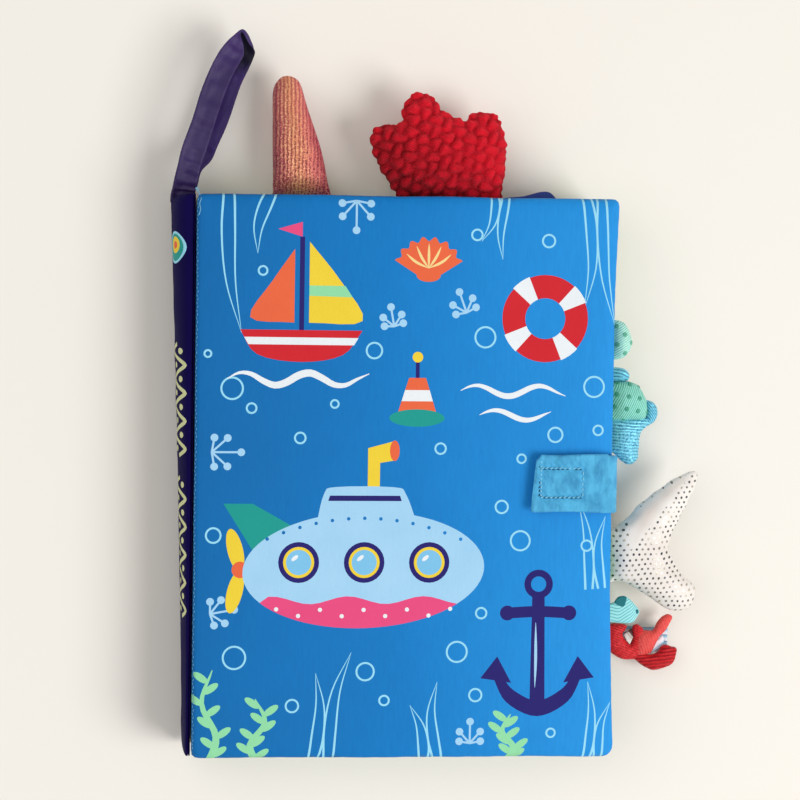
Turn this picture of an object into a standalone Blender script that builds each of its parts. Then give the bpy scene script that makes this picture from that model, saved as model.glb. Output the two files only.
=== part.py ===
import math

import bpy
import numpy as np
from mathutils import Vector
from mathutils.geometry import delaunay_2d_cdt

# A closed cloth book lying on its back cover, in metres. X runs from the spine to the
# fore-edge, Y to the head of the book and Z up. The origin is on the resting face.

# Covers and leaves: each is two cloths sewn round a padding.
cover_width = 0.174
cover_height = 0.230
corner_radius = 0.005
panel_thickness = 0.0055
edge_rise = 0.008
cloth_thickness = 0.0006
leaf_count = 4
clearance = 0.0003
padding_gap = 0.0004
padding_inset = 0.0022
film_thickness = 0.0003
edge_ring_shares = (0.14, 0.45, 1.0)
corner_points = 4
long_side_points = 4
short_side_points = 3
same_point = 1e-7
crossed_share = 0.9
grid_margin_share = 0.45

# Spine: a flat lining, a padding and an outer cloth that bulges most at the head.
head_bulge = 0.0082
foot_bulge = 0.0012
spine_end_rise = 0.0016
spine_across_shares = (0.05, 0.18, 0.36, 0.64, 0.82, 0.95)
spine_along_points = 9

# Closure: a tab from the back cover's fore-edge, over the front cover.
tab_width = 0.024
tab_middle_y = -0.0019
tab_thickness = 0.0012
tab_reach = 0.036
tab_corner_radius = 0.004
tab_bend_radius = 0.0045
patch_length = 0.0180
patch_width = 0.0144
patch_thickness = 0.0008
patch_from_tab_end = 0.0040
bend_steps = 6

# Carry loop: one satin strap, both ends sewn into the head of the spine.
strap_width = 0.0098
strap_thickness = 0.0006
strap_reach = 0.0660
strap_lean = 0.0290
strap_gape = 0.0118
strap_seat = 0.0006
strap_from_spine_face = 0.0038
strap_sections_per_span = 2

# Tails: stuffed cloth forms that stand out past the leaves.
tail_seat = 0.00045
form_spacing = 0.0042
fill_inset = 0.0018
fill_gap = 0.0008
fill_least = 0.0002
curve_steps = 2

horn_width = 0.0245
horn_length = 0.0497
horn_swell = 0.0058
horn_side_round = 0.0110
horn_root_taper = 0.0090
horn_from_spine = 0.04425

bobble_width = 0.0440
bobble_length = 0.0437
bobble_swell = 0.0088
bobble_side_round = 0.0150
bobble_root_taper = 0.0120
bobble_from_spine = 0.1059

dome_width = 0.0165
dome_length = 0.0079
dome_swell = 0.0042
dome_side_round = 0.0070
dome_root_taper = 0.0050
dome_from_foot = 0.1727

shell_width = 0.0165
shell_length = 0.0177
shell_swell = 0.0062
shell_side_round = 0.0080
shell_root_taper = 0.0080
shell_from_foot = 0.1463

lobe_width = 0.0054
lobe_length = 0.0099
lobe_swell = 0.0026
flipper_width = 0.0103
flipper_length = 0.0042
flipper_swell = 0.0026
flipper_shift_share = 0.44
leg_width = 0.0179
leg_length = 0.0174
leg_swell = 0.0046
limb_side_round = 0.0060
limb_root_taper = 0.0080

fin_width = 0.0231
fin_length = 0.0390
fin_swell = 0.0064
fin_side_round = 0.0090
fin_root_taper = 0.0100
fin_from_foot = 0.0812

wave_ribbon_width = 0.0103
wave_ribbon_length = 0.0165
wave_ribbon_from_foot = 0.0571
ribbon_thickness = 0.0018

claw_width = 0.0118
claw_length = 0.0180
claw_from_foot = 0.0455
claw_swell = 0.0026
claw_side_round = 0.0042
claw_root_taper = 0.0070
small_form_spacing = 0.0028
pincer_length = 0.0190
pincer_width = 0.0120
strip_length = 0.0325
strip_width = 0.0110
strip_thickness = 0.0008
strip_slant = -0.0033
strip_dip_shares = (0.0, 0.25, 0.5, 0.75, 1.0)

# Sizes worked out from those above.
half_width = cover_width / 2
half_height = cover_height / 2
layer_pitch = panel_thickness + clearance
half_seam = clearance / 2
edge_half = half_seam + cloth_thickness
panel_swell = panel_thickness / 2 - edge_half
spine_face_x = -half_width - clearance
cover_hinge_x = -half_width - half_seam
leaf_hinge_x = spine_face_x + edge_half + clearance
back_height = panel_thickness / 2
front_height = back_height + (leaf_count + 1) * layer_pitch
front_top = front_height + panel_thickness / 2
patch_base = front_top + clearance
hook_base = patch_base + patch_thickness + clearance
flap_base = hook_base + patch_thickness + clearance
flap_top = flap_base + tab_thickness
tab_inner_x = half_width + clearance
tab_side_top = front_height + edge_half

# Outlines as shares of each piece's own width (across) and length (out from its root).
horn_shares = (
    (-0.50, 0.0), (-0.52, 0.37), (-0.525, 0.66), (-0.50, 0.88), (-0.39, 0.973),
    (-0.27, 1.0), (-0.137, 0.985), (-0.027, 0.929), (0.108, 0.723), (0.353, 0.369),
    (0.50, 0.0),
)
bobble_shares = (
    (-0.50, 0.0), (-0.652, 0.207), (-0.745, 0.383), (-0.775, 0.566), (-0.691, 0.676),
    (-0.484, 0.71), (-0.484, 0.825), (-0.411, 0.949), (-0.307, 1.0), (-0.173, 0.955),
    (-0.086, 0.825), (0.127, 0.745), (0.182, 0.802), (0.268, 0.834), (0.452, 0.781),
    (0.511, 0.612), (0.543, 0.431), (0.50, 0.0),
)
dome_shares = (
    (0.50, 0.0), (0.48, 0.30), (0.394, 0.652), (0.139, 0.93), (-0.073, 1.0),
    (-0.291, 0.893), (-0.442, 0.627), (-0.50, 0.30), (-0.50, 0.0),
)
shell_shares = (
    (0.50, 0.0), (0.50, 0.13), (0.52, 0.52), (0.40, 0.79), (0.02, 0.99),
    (-0.34, 1.0), (-0.47, 0.90), (-0.50, 0.50), (-0.50, 0.0),
)
lobe_shares = (
    (0.50, 0.0), (0.50, 0.45), (0.40, 0.83), (-0.03, 1.0), (-0.42, 0.90),
    (-0.50, 0.60), (-0.50, 0.0),
)
flipper_shares = (
    (0.50, 0.0), (0.40, 0.62), (0.02, 1.0), (-0.35, 0.72), (-0.50, 0.05),
    (-0.20, 0.05), (0.20, 0.0),
)
leg_shares = (
    (0.50, 0.0), (0.50, 0.50), (0.50, 1.0), (0.21, 0.86), (-0.17, 0.82),
    (-0.40, 0.80), (-0.50, 0.60), (-0.40, 0.40), (-0.22, 0.17), (-0.15, 0.0),
)
fin_shares = (
    (0.50, 0.0), (0.697, 0.194), (1.013, 0.368), (1.398, 0.664), (1.60, 0.895),
    (1.50, 0.997), (0.81, 0.848), (0.26, 0.72), (0.022, 0.736), (-0.329, 0.861),
    (-0.567, 0.992), (-0.788, 1.0), (-1.03, 0.892), (-1.009, 0.679), (-0.732, 0.425),
    (-0.511, 0.207), (-0.50, 0.0),
)
wave_ribbon_shares = (
    (0.50, 0.0), (0.59, 0.655), (-0.03, 1.0), (-0.485, 0.85), (-0.50, 0.0),
)
claw_arm_shares = (
    (0.45, 0.0), (0.47, 0.17), (0.48, 0.30), (0.49, 0.46), (0.42, 0.67), (0.26, 0.65),
    (0.08, 0.57), (-0.26, 0.74), (-0.13, 0.81), (0.24, 0.80), (0.43, 0.84), (0.43, 0.98),
    (0.20, 1.03), (-0.13, 1.02), (-0.47, 0.99), (-0.74, 0.93), (-0.81, 0.79),
    (-0.82, 0.64), (-0.76, 0.48), (-0.60, 0.32), (-0.41, 0.13), (-0.34, 0.0),
)
upper_pincer_shares = (
    (0.19, 0.05), (0.22, 0.26), (0.53, 0.36), (0.72, 0.47), (0.78, 0.61), (0.70, 0.70),
    (0.50, 0.66), (0.23, 0.57), (0.00, 0.42), (-0.26, 0.33), (-0.54, 0.24),
    (-0.64, 0.12), (-0.68, -0.01), (-0.45, 0.02), (-0.13, 0.05),
)
lower_pincer_shares = (
    (-0.80, -0.05), (-0.96, 0.01), (-1.11, 0.12), (-1.20, 0.27), (-1.16, 0.44),
    (-1.03, 0.67), (-0.89, 0.75), (-0.67, 0.80), (-0.48, 0.83), (-0.38, 0.78),
    (-0.36, 0.67), (-0.29, 0.57), (-0.36, 0.47), (-0.51, 0.40), (-0.62, 0.29),
    (-0.73, 0.15),
)
# The loop's middle line as shares of its lean, reach and gape, then its width's direction.
strap_line_shares = (
    (0.00, 0.00, 0.06, 1.00, 0.00, 0.00),
    (0.00, 0.04, 0.22, 0.98, -0.15, 0.00),
    (0.03, 0.13, 0.37, 0.95, -0.30, 0.00),
    (0.08, 0.22, 0.45, 0.93, -0.35, 0.00),
    (0.16, 0.33, 0.51, 0.92, -0.38, 0.00),
    (0.24, 0.44, 0.54, 0.93, -0.36, 0.00),
    (0.37, 0.62, 0.52, 0.93, -0.37, 0.00),
    (0.51, 0.77, 0.45, 0.92, -0.40, -0.10),
    (0.66, 0.88, 0.33, 0.85, -0.50, -0.20),
    (0.81, 0.945, 0.17, 0.70, -0.70, -0.15),
    (0.88, 0.96, -0.02, 0.51, -0.86, 0.00),
    (0.86, 0.93, -0.22, 0.70, -0.70, 0.00),
    (0.77, 0.835, -0.39, 0.87, -0.48, 0.00),
    (0.63, 0.70, -0.48, 0.92, -0.40, 0.00),
    (0.47, 0.49, -0.51, 0.93, -0.36, 0.00),
    (0.33, 0.34, -0.49, 0.92, -0.38, 0.00),
    (0.24, 0.245, -0.42, 0.90, -0.43, 0.00),
    (0.08, 0.155, -0.31, 0.95, -0.20, 0.00),
    (0.02, 0.065, -0.17, 0.98, -0.10, 0.00),
    (0.00, 0.00, -0.06, 1.00, 0.00, 0.00),
)

# The edge that a tail is sewn to: which way is out, 0 for X and 1 for Y.
fore_edge = 0
head_edge = 1


def clear_scene():
    for thing in list(bpy.data.objects):
        bpy.data.objects.remove(thing)


def linear(channel):
    share = channel / 255
    return share / 12.92 if share <= 0.04045 else ((share + 0.055) / 1.055) ** 2.4


def finish(name, colour, roughness=0.85, metallic=0.0):
    material = bpy.data.materials.new(name)
    material.use_nodes = True
    shader = material.node_tree.nodes["Principled BSDF"]
    shader.inputs["Base Color"].default_value = (*(linear(c) for c in colour), 1.0)
    shader.inputs["Roughness"].default_value = roughness
    shader.inputs["Metallic"].default_value = metallic
    material.diffuse_color = (*(linear(c) for c in colour), 1.0)
    return material


def pivot(name, parent, x, y, z):
    # An empty on a joint's axis. Its place is given in world axes.
    empty = bpy.data.objects.new(name, None)
    bpy.context.scene.collection.objects.link(empty)
    place = Vector((x, y, z))
    empty["world_place"] = place
    empty.location = place - Vector(parent["world_place"]) if parent else place
    empty.parent = parent
    return empty


def solid(name, points, faces, carrier, material):
    # Points are measured from the carrier's axis.
    mesh = bpy.data.meshes.new(name)
    mesh.from_pydata([tuple(p) for p in points], [], [tuple(f) for f in faces])
    mesh.materials.append(material)
    mesh.shade_smooth()
    mesh.set_sharp_from_angle(angle=math.radians(50))
    thing = bpy.data.objects.new(name, mesh)
    bpy.context.scene.collection.objects.link(thing)
    thing.parent = carrier
    return thing


def smooth_line(points, steps, closed=False):
    # A Catmull-Rom curve through the points, with the given steps in each span.
    points = np.array(points, float)
    if closed:
        points = np.vstack([points[-1], points, points[:2]])
    else:
        before = 2 * points[0] - points[1]
        after = 2 * points[-1] - points[-2]
        points = np.vstack([before, points, after])
    line = []
    for a, b, c, d in zip(points, points[1:], points[2:], points[3:]):
        for t in np.arange(steps) / steps:
            straight = 2 * b + (c - a) * t
            bent = (2 * a - 5 * b + 4 * c - d) * t**2 + (3 * b - a - 3 * c + d) * t**3
            line.append((straight + bent) / 2)
    if not closed:
        line.append(points[-2])
    return np.array(line)


def rounded_rectangle(low, high, radius, x_points, y_points):
    # Corners in anticlockwise order, each an arc, with extra points along the sides.
    corners = (
        (high[0] - radius, low[1] + radius, -90),
        (high[0] - radius, high[1] - radius, 0),
        (low[0] + radius, high[1] - radius, 90),
        (low[0] + radius, low[1] + radius, 180),
    )
    line = []
    for number, (x, y, start) in enumerate(corners):
        for step in range(corner_points):
            angle = math.radians(start + 90 * step / (corner_points - 1))
            line.append((x + radius * math.cos(angle), y + radius * math.sin(angle)))
        after = corners[(number + 1) % 4]
        angle = math.radians(start + 90)
        end = (after[0] + radius * math.cos(angle), after[1] + radius * math.sin(angle))
        count = (y_points, x_points)[number % 2]
        for step in range(1, count + 1):
            share = step / (count + 1)
            x_between = line[-step][0] * (1 - share) + end[0] * share
            y_between = line[-step][1] * (1 - share) + end[1] * share
            line.append((x_between, y_between))
    return np.array(line)


def distance_to(line, points, closed=True):
    # How far each point lies from the line.
    starts = line if closed else line[:-1]
    ends = np.roll(line, -1, axis=0) if closed else line[1:]
    run = ends - starts
    offset = points[:, None, :] - starts[None, :, :]
    share = (offset * run).sum(axis=2) / (run * run).sum(axis=1)
    nearest = starts + np.clip(share, 0, 1)[:, :, None] * run
    return np.linalg.norm(points[:, None, :] - nearest, axis=2).min(axis=1)


def inside(line, points):
    x, y = points[:, 0, None], points[:, 1, None]
    ends = np.roll(line, -1, axis=0)
    straddles = (line[:, 1] > y) != (ends[:, 1] > y)
    rise = np.where(ends[:, 1] == line[:, 1], 1.0, ends[:, 1] - line[:, 1])
    crossing = line[:, 0] + (y - line[:, 1]) / rise * (ends[:, 0] - line[:, 0])
    return (straddles & (x < crossing)).sum(axis=1) % 2 == 1


def turned_anticlockwise(line):
    ends = np.roll(line, -1, axis=0)
    area = (line[:, 0] * ends[:, 1] - line[:, 1] * ends[:, 0]).sum()
    return line if area > 0 else line[::-1]


def drawn_in(line, inset):
    # The closed line moved towards its inside by the inset. Points that cross over go.
    line = turned_anticlockwise(line)
    run = np.roll(line, -1, axis=0) - np.roll(line, 1, axis=0)
    run /= np.linalg.norm(run, axis=1)[:, None]
    moved = line + inset * np.stack([-run[:, 1], run[:, 0]], axis=1)
    return moved[inside(line, moved) & (distance_to(line, moved) > inset * crossed_share)]


def grid_inside(line, spacing, margin):
    # Points in rows across the inside of the line, every other row shifted by half a step.
    low, high = line.min(axis=0), line.max(axis=0)
    row_height = spacing * math.sqrt(3) / 2
    found = []
    for row in range(int((high[1] - low[1]) / row_height) + 1):
        for column in range(int((high[0] - low[0]) / spacing) + 2):
            x = low[0] + (column - (row % 2) / 2) * spacing
            found.append((x, low[1] + (row + 0.5) * row_height))
    found = np.array(found)
    found = found[inside(line, found)]
    return found[distance_to(line, found) > margin]


def filled(line, points, ring=()):
    # The triangles that fill the line through the points, and the rim as edges. A ring is
    # a closed line inside it that no triangle crosses.
    line = turned_anticlockwise(line)
    groups = [group for group in (line, ring, points) if len(group)]
    loop = list(range(len(line)))
    kept = [(len(line) + i, len(line) + (i + 1) % len(ring)) for i in range(len(ring))]
    vectors = [Vector(p) for p in np.vstack(groups)]
    found, _, triangles, *_ = delaunay_2d_cdt(vectors, kept, [loop], 1, same_point)
    flat = np.array([tuple(p) for p in found])
    faces = []
    for a, b, c in triangles:
        across = (flat[b] - flat[a])[0] * (flat[c] - flat[a])[1]
        across -= (flat[b] - flat[a])[1] * (flat[c] - flat[a])[0]
        faces.append((a, b, c) if across > 0 else (a, c, b))
    pairs = {(f[i], f[(i + 1) % 3]) for f in faces for i in range(3)}
    rim = [pair for pair in pairs if pair[::-1] not in pairs]
    return flat, faces, sorted(rim)


def slab(name, area, low, high, carrier, material, axes=((1, 0, 0), (0, 1, 0), (0, 0, 1))):
    # A closed solid between two height fields over one area.
    flat, faces, rim = area
    count = len(flat)
    tops = np.column_stack([flat, high])
    bottoms = np.column_stack([flat, low])
    points = np.vstack([tops, bottoms]) @ np.array(axes, float)
    below = [(c + count, b + count, a + count) for a, b, c in faces]
    sides = [(a + count, b + count, b, a) for a, b in rim]
    return solid(name, points, faces + below + sides, carrier, material)


def round_rise(distance, reach):
    # Nought at the edge, one from the reach inwards, round like a pillow's side.
    return np.sqrt(1 - (1 - np.clip(distance / reach, 0, 1)) ** 2)


def pages(prefix, names, low, high, carrier, materials, film=None):
    # A padded panel: a front cloth, a back cloth and what lies between them.
    outline = rounded_rectangle(low, high, corner_radius, short_side_points, long_side_points)
    rings = [drawn_in(outline, edge_rise * share) for share in edge_ring_shares]
    area = filled(outline, np.vstack(rings))
    within = half_seam + panel_swell * round_rise(distance_to(outline, area[0]), edge_rise)
    beyond = within + cloth_thickness
    slab(prefix + names[0], area, within, beyond, carrier, materials[0])
    slab(prefix + names[1], area, -beyond, -within, carrier, materials[1])
    core_outline = drawn_in(outline, padding_inset)
    core = filled(core_outline, np.vstack(rings[1:]))
    reach = half_seam + panel_swell * round_rise(distance_to(outline, core[0]), edge_rise)
    reach -= padding_gap
    if film is None:
        slab(prefix + names[2], core, -reach, reach, carrier, materials[2])
        return
    film_top = half_seam + panel_swell - clearance
    film_base = film_top - film_thickness
    top = np.minimum(reach, film_base - clearance)
    slab(prefix + names[2], core, -reach, top, carrier, materials[2])
    sheet = filled(drawn_in(outline, edge_rise), np.empty((0, 2)))
    count = len(sheet[0])
    slab(film, sheet, np.full(count, film_base), np.full(count, film_top), carrier, materials[3])


def cover(name, carrier, outer_above, materials):
    # A cover lies from its own seam on the spine to the fore-edge.
    low = (half_seam, -half_height)
    high = (half_seam + cover_width, half_height)
    names = ("_outer", "_lining", "_padding") if outer_above else ("_lining", "_outer", "_padding")
    ordered = materials if outer_above else (materials[1], materials[0], materials[2])
    pages(name, names, low, high, carrier, ordered)


def leaf(number, carrier, materials):
    low = (half_seam, -half_height)
    high = (half_width - leaf_hinge_x, half_height)
    name = f"leaf_{number}"
    names = ("_front_page", "_back_page", "_wadding")
    pages(name, names, low, high, carrier, materials, film=f"{name}_crinkle_film")


def spine(carrier, materials):
    # Laid out on its own height and length, then stood up with its thickness along X.
    stood_up = ((0, 0, 1), (0, 1, 0), (-1, 0, 0))
    height = front_height - back_height
    low, high = (half_seam, -half_height), (height - half_seam, half_height)
    outline = rounded_rectangle(low, high, edge_half, 1, spine_along_points)
    ends = half_height - spine_end_rise
    along = np.linspace(-ends, ends, spine_along_points)
    across = [low[0] + share * (high[0] - low[0]) for share in spine_across_shares]
    inner = np.array([(a, b) for b in along for a in across])
    face = cover_hinge_x - spine_face_x

    def bulge(points):
        middle = (points[:, 0] - low[0]) / (high[0] - low[0]) * 2 - 1
        round_share = np.sqrt(np.clip(1 - middle**2, 0, 1))
        along_share = np.clip(points[:, 1] / cover_height + 0.5, 0, 1)
        most = foot_bulge + (head_bulge - foot_bulge) * along_share**1.3
        end_distance = half_height - np.abs(points[:, 1])
        return most * round_share * round_rise(end_distance, spine_end_rise)

    ring = drawn_in(outline, padding_inset)
    inner = inner[inside(ring, inner) & (distance_to(ring, inner) > padding_inset / 2)]
    area = filled(outline, inner, ring)
    plain = np.full(len(area[0]), face)
    lining_back = plain + cloth_thickness
    slab("spine_lining", area, plain, lining_back, carrier, materials[1], stood_up)
    within = lining_back + clearance + bulge(area[0])
    slab("spine_outer", area, within, within + cloth_thickness, carrier, materials[0], stood_up)
    core = filled(ring, inner)
    base = np.full(len(core[0]), face + cloth_thickness + clearance)
    room = base + np.maximum(bulge(core[0]) - padding_gap, fill_least)
    slab("spine_padding", core, base, room, carrier, materials[2], stood_up)


def closure(side_carrier, flap_carrier, cover_carrier, materials):
    side_place = Vector(side_carrier["world_place"])
    flap_place = Vector(flap_carrier["world_place"])
    half_tab = tab_width / 2
    low_y = tab_middle_y - half_tab
    high_y = tab_middle_y + half_tab

    def strip(name, line, carrier, place):
        # A closed outline in X and Z, drawn along Y over the tab's width.
        line = turned_anticlockwise(np.array(line))
        count = len(line)
        near = [(x - place.x, low_y - place.y, z - place.z) for x, z in line]
        far = [(x - place.x, high_y - place.y, z - place.z) for x, z in line]
        around = [(i, i + count, (i + 1) % count + count, (i + 1) % count) for i in range(count)]
        faces = [tuple(range(count)), tuple(range(2 * count - 1, count - 1, -1))]
        return solid(name, near + far, faces + around, carrier, materials[0])

    side_low = back_height + half_seam
    side_high = tab_side_top - clearance
    outer_x = tab_inner_x + tab_thickness
    corners = [(tab_inner_x, side_low), (outer_x, side_low)]
    corners += [(outer_x, side_high), (tab_inner_x, side_high)]
    strip("closure_tab_side", corners, side_carrier, side_place)

    # The flap rises from the side, bends over the cover's edge and lies along the cover.
    bend_x = outer_x - tab_bend_radius
    bend_z = flap_top - tab_bend_radius
    outer_arc, inner_arc = [], []
    for step in range(bend_steps + 1):
        angle = math.radians(90 * step / bend_steps)
        turn = (math.cos(angle), math.sin(angle))
        inner_radius = tab_bend_radius - tab_thickness
        outer_arc.append((bend_x + tab_bend_radius * turn[0], bend_z + tab_bend_radius * turn[1]))
        inner_arc.append((bend_x + inner_radius * turn[0], bend_z + inner_radius * turn[1]))
    end_x = half_width - tab_reach
    line = [(outer_x, tab_side_top)] + outer_arc + [(end_x, flap_top), (end_x, flap_base)]
    line += inner_arc[::-1] + [(tab_inner_x, tab_side_top)]
    flap = strip("closure_tab_flap", line, flap_carrier, flap_place)
    round_corners(flap, end_x - flap_place.x)

    half_patch = patch_width / 2
    left = end_x + patch_from_tab_end
    for name, base, carrier, material in (
        ("loop_patch", patch_base, cover_carrier, materials[1]),
        ("hook_patch", hook_base, flap_carrier, materials[2]),
    ):
        place = Vector(carrier["world_place"])
        low = (left - place.x, tab_middle_y - half_patch - place.y)
        high = (low[0] + patch_length, low[1] + patch_width)
        outline = rounded_rectangle(low, high, patch_thickness, 1, 1)
        area = filled(outline, np.empty((0, 2)))
        height = np.full(len(area[0]), base - place.z)
        slab(name, area, height, height + patch_thickness, carrier, material)


def round_corners(flap, end_x):
    # A bevel on the two upright edges at the flap's free end.
    weights = flap.data.attributes.new("bevel_weight_edge", "FLOAT", "EDGE")
    for edge in flap.data.edges:
        a, b = (flap.data.vertices[v].co for v in edge.vertices)
        at_end = abs(a.x - end_x) < same_point and abs(b.x - end_x) < same_point
        weights.data[edge.index].value = float(at_end and abs(a.y - b.y) < same_point)
    bevel = flap.modifiers.new("round_corners", "BEVEL")
    bevel.width = tab_corner_radius
    bevel.segments = 4
    bevel.limit_method = "WEIGHT"


def carry_strap(carrier, material):
    line = smooth_line(strap_line_shares, strap_sections_per_span)
    scale = np.array([strap_lean, strap_reach, strap_gape])
    middle = line[:, :3] * scale + np.array([0, half_seam, 0])
    width = line[:, 3:] / np.linalg.norm(line[:, 3:], axis=1)[:, None]
    run = np.gradient(middle, axis=0)
    thick = np.cross(width, run)
    thick /= np.linalg.norm(thick, axis=1)[:, None]
    points = []
    for centre, side, up in zip(middle, width, thick):
        for a, b in ((-1, -1), (1, -1), (1, 1), (-1, 1)):
            points.append(centre + side * a * strap_width / 2 + up * b * strap_thickness / 2)
    faces = [(0, 1, 2, 3)]
    for section in range(len(middle) - 1):
        first = section * 4
        for corner in range(4):
            after = (corner + 1) % 4
            faces.append((first + corner, first + 4 + corner, first + 4 + after, first + after))
    last = (len(middle) - 1) * 4
    faces.append((last + 3, last + 2, last + 1, last))
    return solid("carry_strap", points, faces, carrier, material)


def scaled(shares, across, out, edge, across_start=0.0, out_start=0.0):
    # Shares of a width and a length as points, with the way out along X or Y.
    table = np.array(shares, float)
    sideways = across_start + table[:, 0] * across
    outwards = out_start + half_seam + table[:, 1] * out
    return np.stack([outwards, sideways] if edge == fore_edge else [sideways, outwards], axis=1)


def root_rise(points, edge, taper):
    # A tail grows from its flat root seam to its full swell over the taper.
    out = points[:, 0] if edge == fore_edge else points[:, 1]
    return np.sin(np.clip((out - half_seam) / taper, 0, 1) * math.pi / 2)


def stuffed_tail(name, shares, sizes, edge, carrier, materials):
    # Two cloths sewn along the outline, round a filling.
    width, length, swell, side_round, taper = sizes
    side_line = smooth_line(scaled(shares, width, length, edge), curve_steps)
    fill_line = drawn_in(side_line, fill_inset)
    middle = grid_inside(fill_line, form_spacing, form_spacing * grid_margin_share)
    area = filled(side_line, middle, fill_line)

    def room(points):
        share = round_rise(distance_to(side_line, points, closed=False), side_round)
        return half_seam + swell * share * root_rise(points, edge, taper)

    within = room(area[0])
    beyond = within + cloth_thickness
    slab(name + "_front", area, within, beyond, carrier, materials[0])
    slab(name + "_back", area, -beyond, -within, carrier, materials[1])
    core = filled(fill_line, middle)
    reach = np.maximum(room(core[0]) - fill_gap, fill_least)
    slab(name + "_filling", core, -reach, reach, carrier, materials[2])


def limb(name, line, swell, side_round, carrier, material, taper=None):
    # One small stuffed form, both its cloths and its filling in a single solid.
    margin = small_form_spacing * grid_margin_share
    area = filled(line, grid_inside(line, small_form_spacing, margin))
    half = swell * round_rise(distance_to(line, area[0]), side_round)
    if taper is not None:
        half = half * root_rise(area[0], fore_edge, taper)
    half = half + edge_half
    slab(name, area, -half, half, carrier, material)


def shell_tail(carrier, green, teal, stuffing):
    sizes = (shell_width, shell_length, shell_swell, shell_side_round, shell_root_taper)
    stuffed_tail("shell", shell_shares, sizes, fore_edge, carrier, (green, green, stuffing))
    seam = clearance * 2
    taper = limb_root_taper
    middle = shell_width / 2 + seam + lobe_width / 2
    line = scaled(lobe_shares, lobe_width, lobe_length, fore_edge, middle)
    line = smooth_line(line, curve_steps)
    limb("top_lobe", line, lobe_swell, limb_side_round, carrier, teal, taper)
    middle = -flipper_width * flipper_shift_share
    start = shell_length + seam
    line = scaled(flipper_shares, flipper_width, flipper_length, fore_edge, middle, start)
    line = smooth_line(line, curve_steps)
    limb("side_flipper", line, flipper_swell, limb_side_round, carrier, teal)
    middle = -shell_width / 2 - seam - leg_width / 2
    line = scaled(leg_shares, leg_width, leg_length, fore_edge, middle)
    line = smooth_line(line, curve_steps)
    limb("lower_leg", line, leg_swell, limb_side_round, carrier, teal, taper)


def claw_tail(carrier, red, blue):
    line = smooth_line(scaled(claw_arm_shares, claw_width, claw_length, fore_edge), curve_steps)
    limb("claw_arm", line, claw_swell, claw_side_round, carrier, red, claw_root_taper)
    start = claw_length + clearance * 2
    pincers = {"upper_pincer": upper_pincer_shares, "lower_pincer": lower_pincer_shares}
    for name, shares in pincers.items():
        line = scaled(shares, pincer_width, pincer_length, fore_edge, 0.0, start)
        line = smooth_line(line, curve_steps, closed=True)
        limb(name, line, claw_swell, claw_side_round, carrier, red)
    under_strip(carrier, blue)


def under_strip(carrier, material):
    # A ribbon from the same seam that dips under the claw and then lies level.
    drop = claw_swell + clearance
    half = strip_thickness / 2
    top = edge_half + clearance
    line = []
    for share in strip_dip_shares:
        down = drop * math.sin(share * math.pi / 2)
        line.append((half_seam + share * claw_root_taper, -top - half - down))
    line.append((strip_length, -top - half - drop))
    points, faces = [], []
    for out, height in line:
        shift = strip_slant * (out / strip_length)
        for side, up in ((-1, -1), (1, -1), (1, 1), (-1, 1)):
            points.append((out, shift + side * strip_width / 2, height + up * half))
    faces.append((3, 2, 1, 0))
    for section in range(len(line) - 1):
        first = section * 4
        for corner in range(4):
            after = (corner + 1) % 4
            faces.append((first + corner, first + after, first + 4 + after, first + 4 + corner))
    last = (len(line) - 1) * 4
    faces.append((last, last + 1, last + 2, last + 3))
    return solid("under_ribbon", points, faces, carrier, material)


def wave_ribbon(carrier, material):
    # A short folded ribbon, pressed flat.
    line = scaled(wave_ribbon_shares, wave_ribbon_width, wave_ribbon_length, fore_edge)
    area = filled(line, np.empty((0, 2)))
    half = np.full(len(area[0]), ribbon_thickness / 2)
    slab("wave_ribbon", area, -half, half, carrier, material)


def tail_pivot(name, leaf_carrier, edge, along):
    # A tail's root seam lies just past the edge of its leaf, at the leaf's mid height.
    height = leaf_carrier["world_place"][2]
    if edge == head_edge:
        return pivot(name, leaf_carrier, along - half_width, half_height + tail_seat, height)
    return pivot(name, leaf_carrier, half_width + tail_seat, along - half_height, height)


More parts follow.
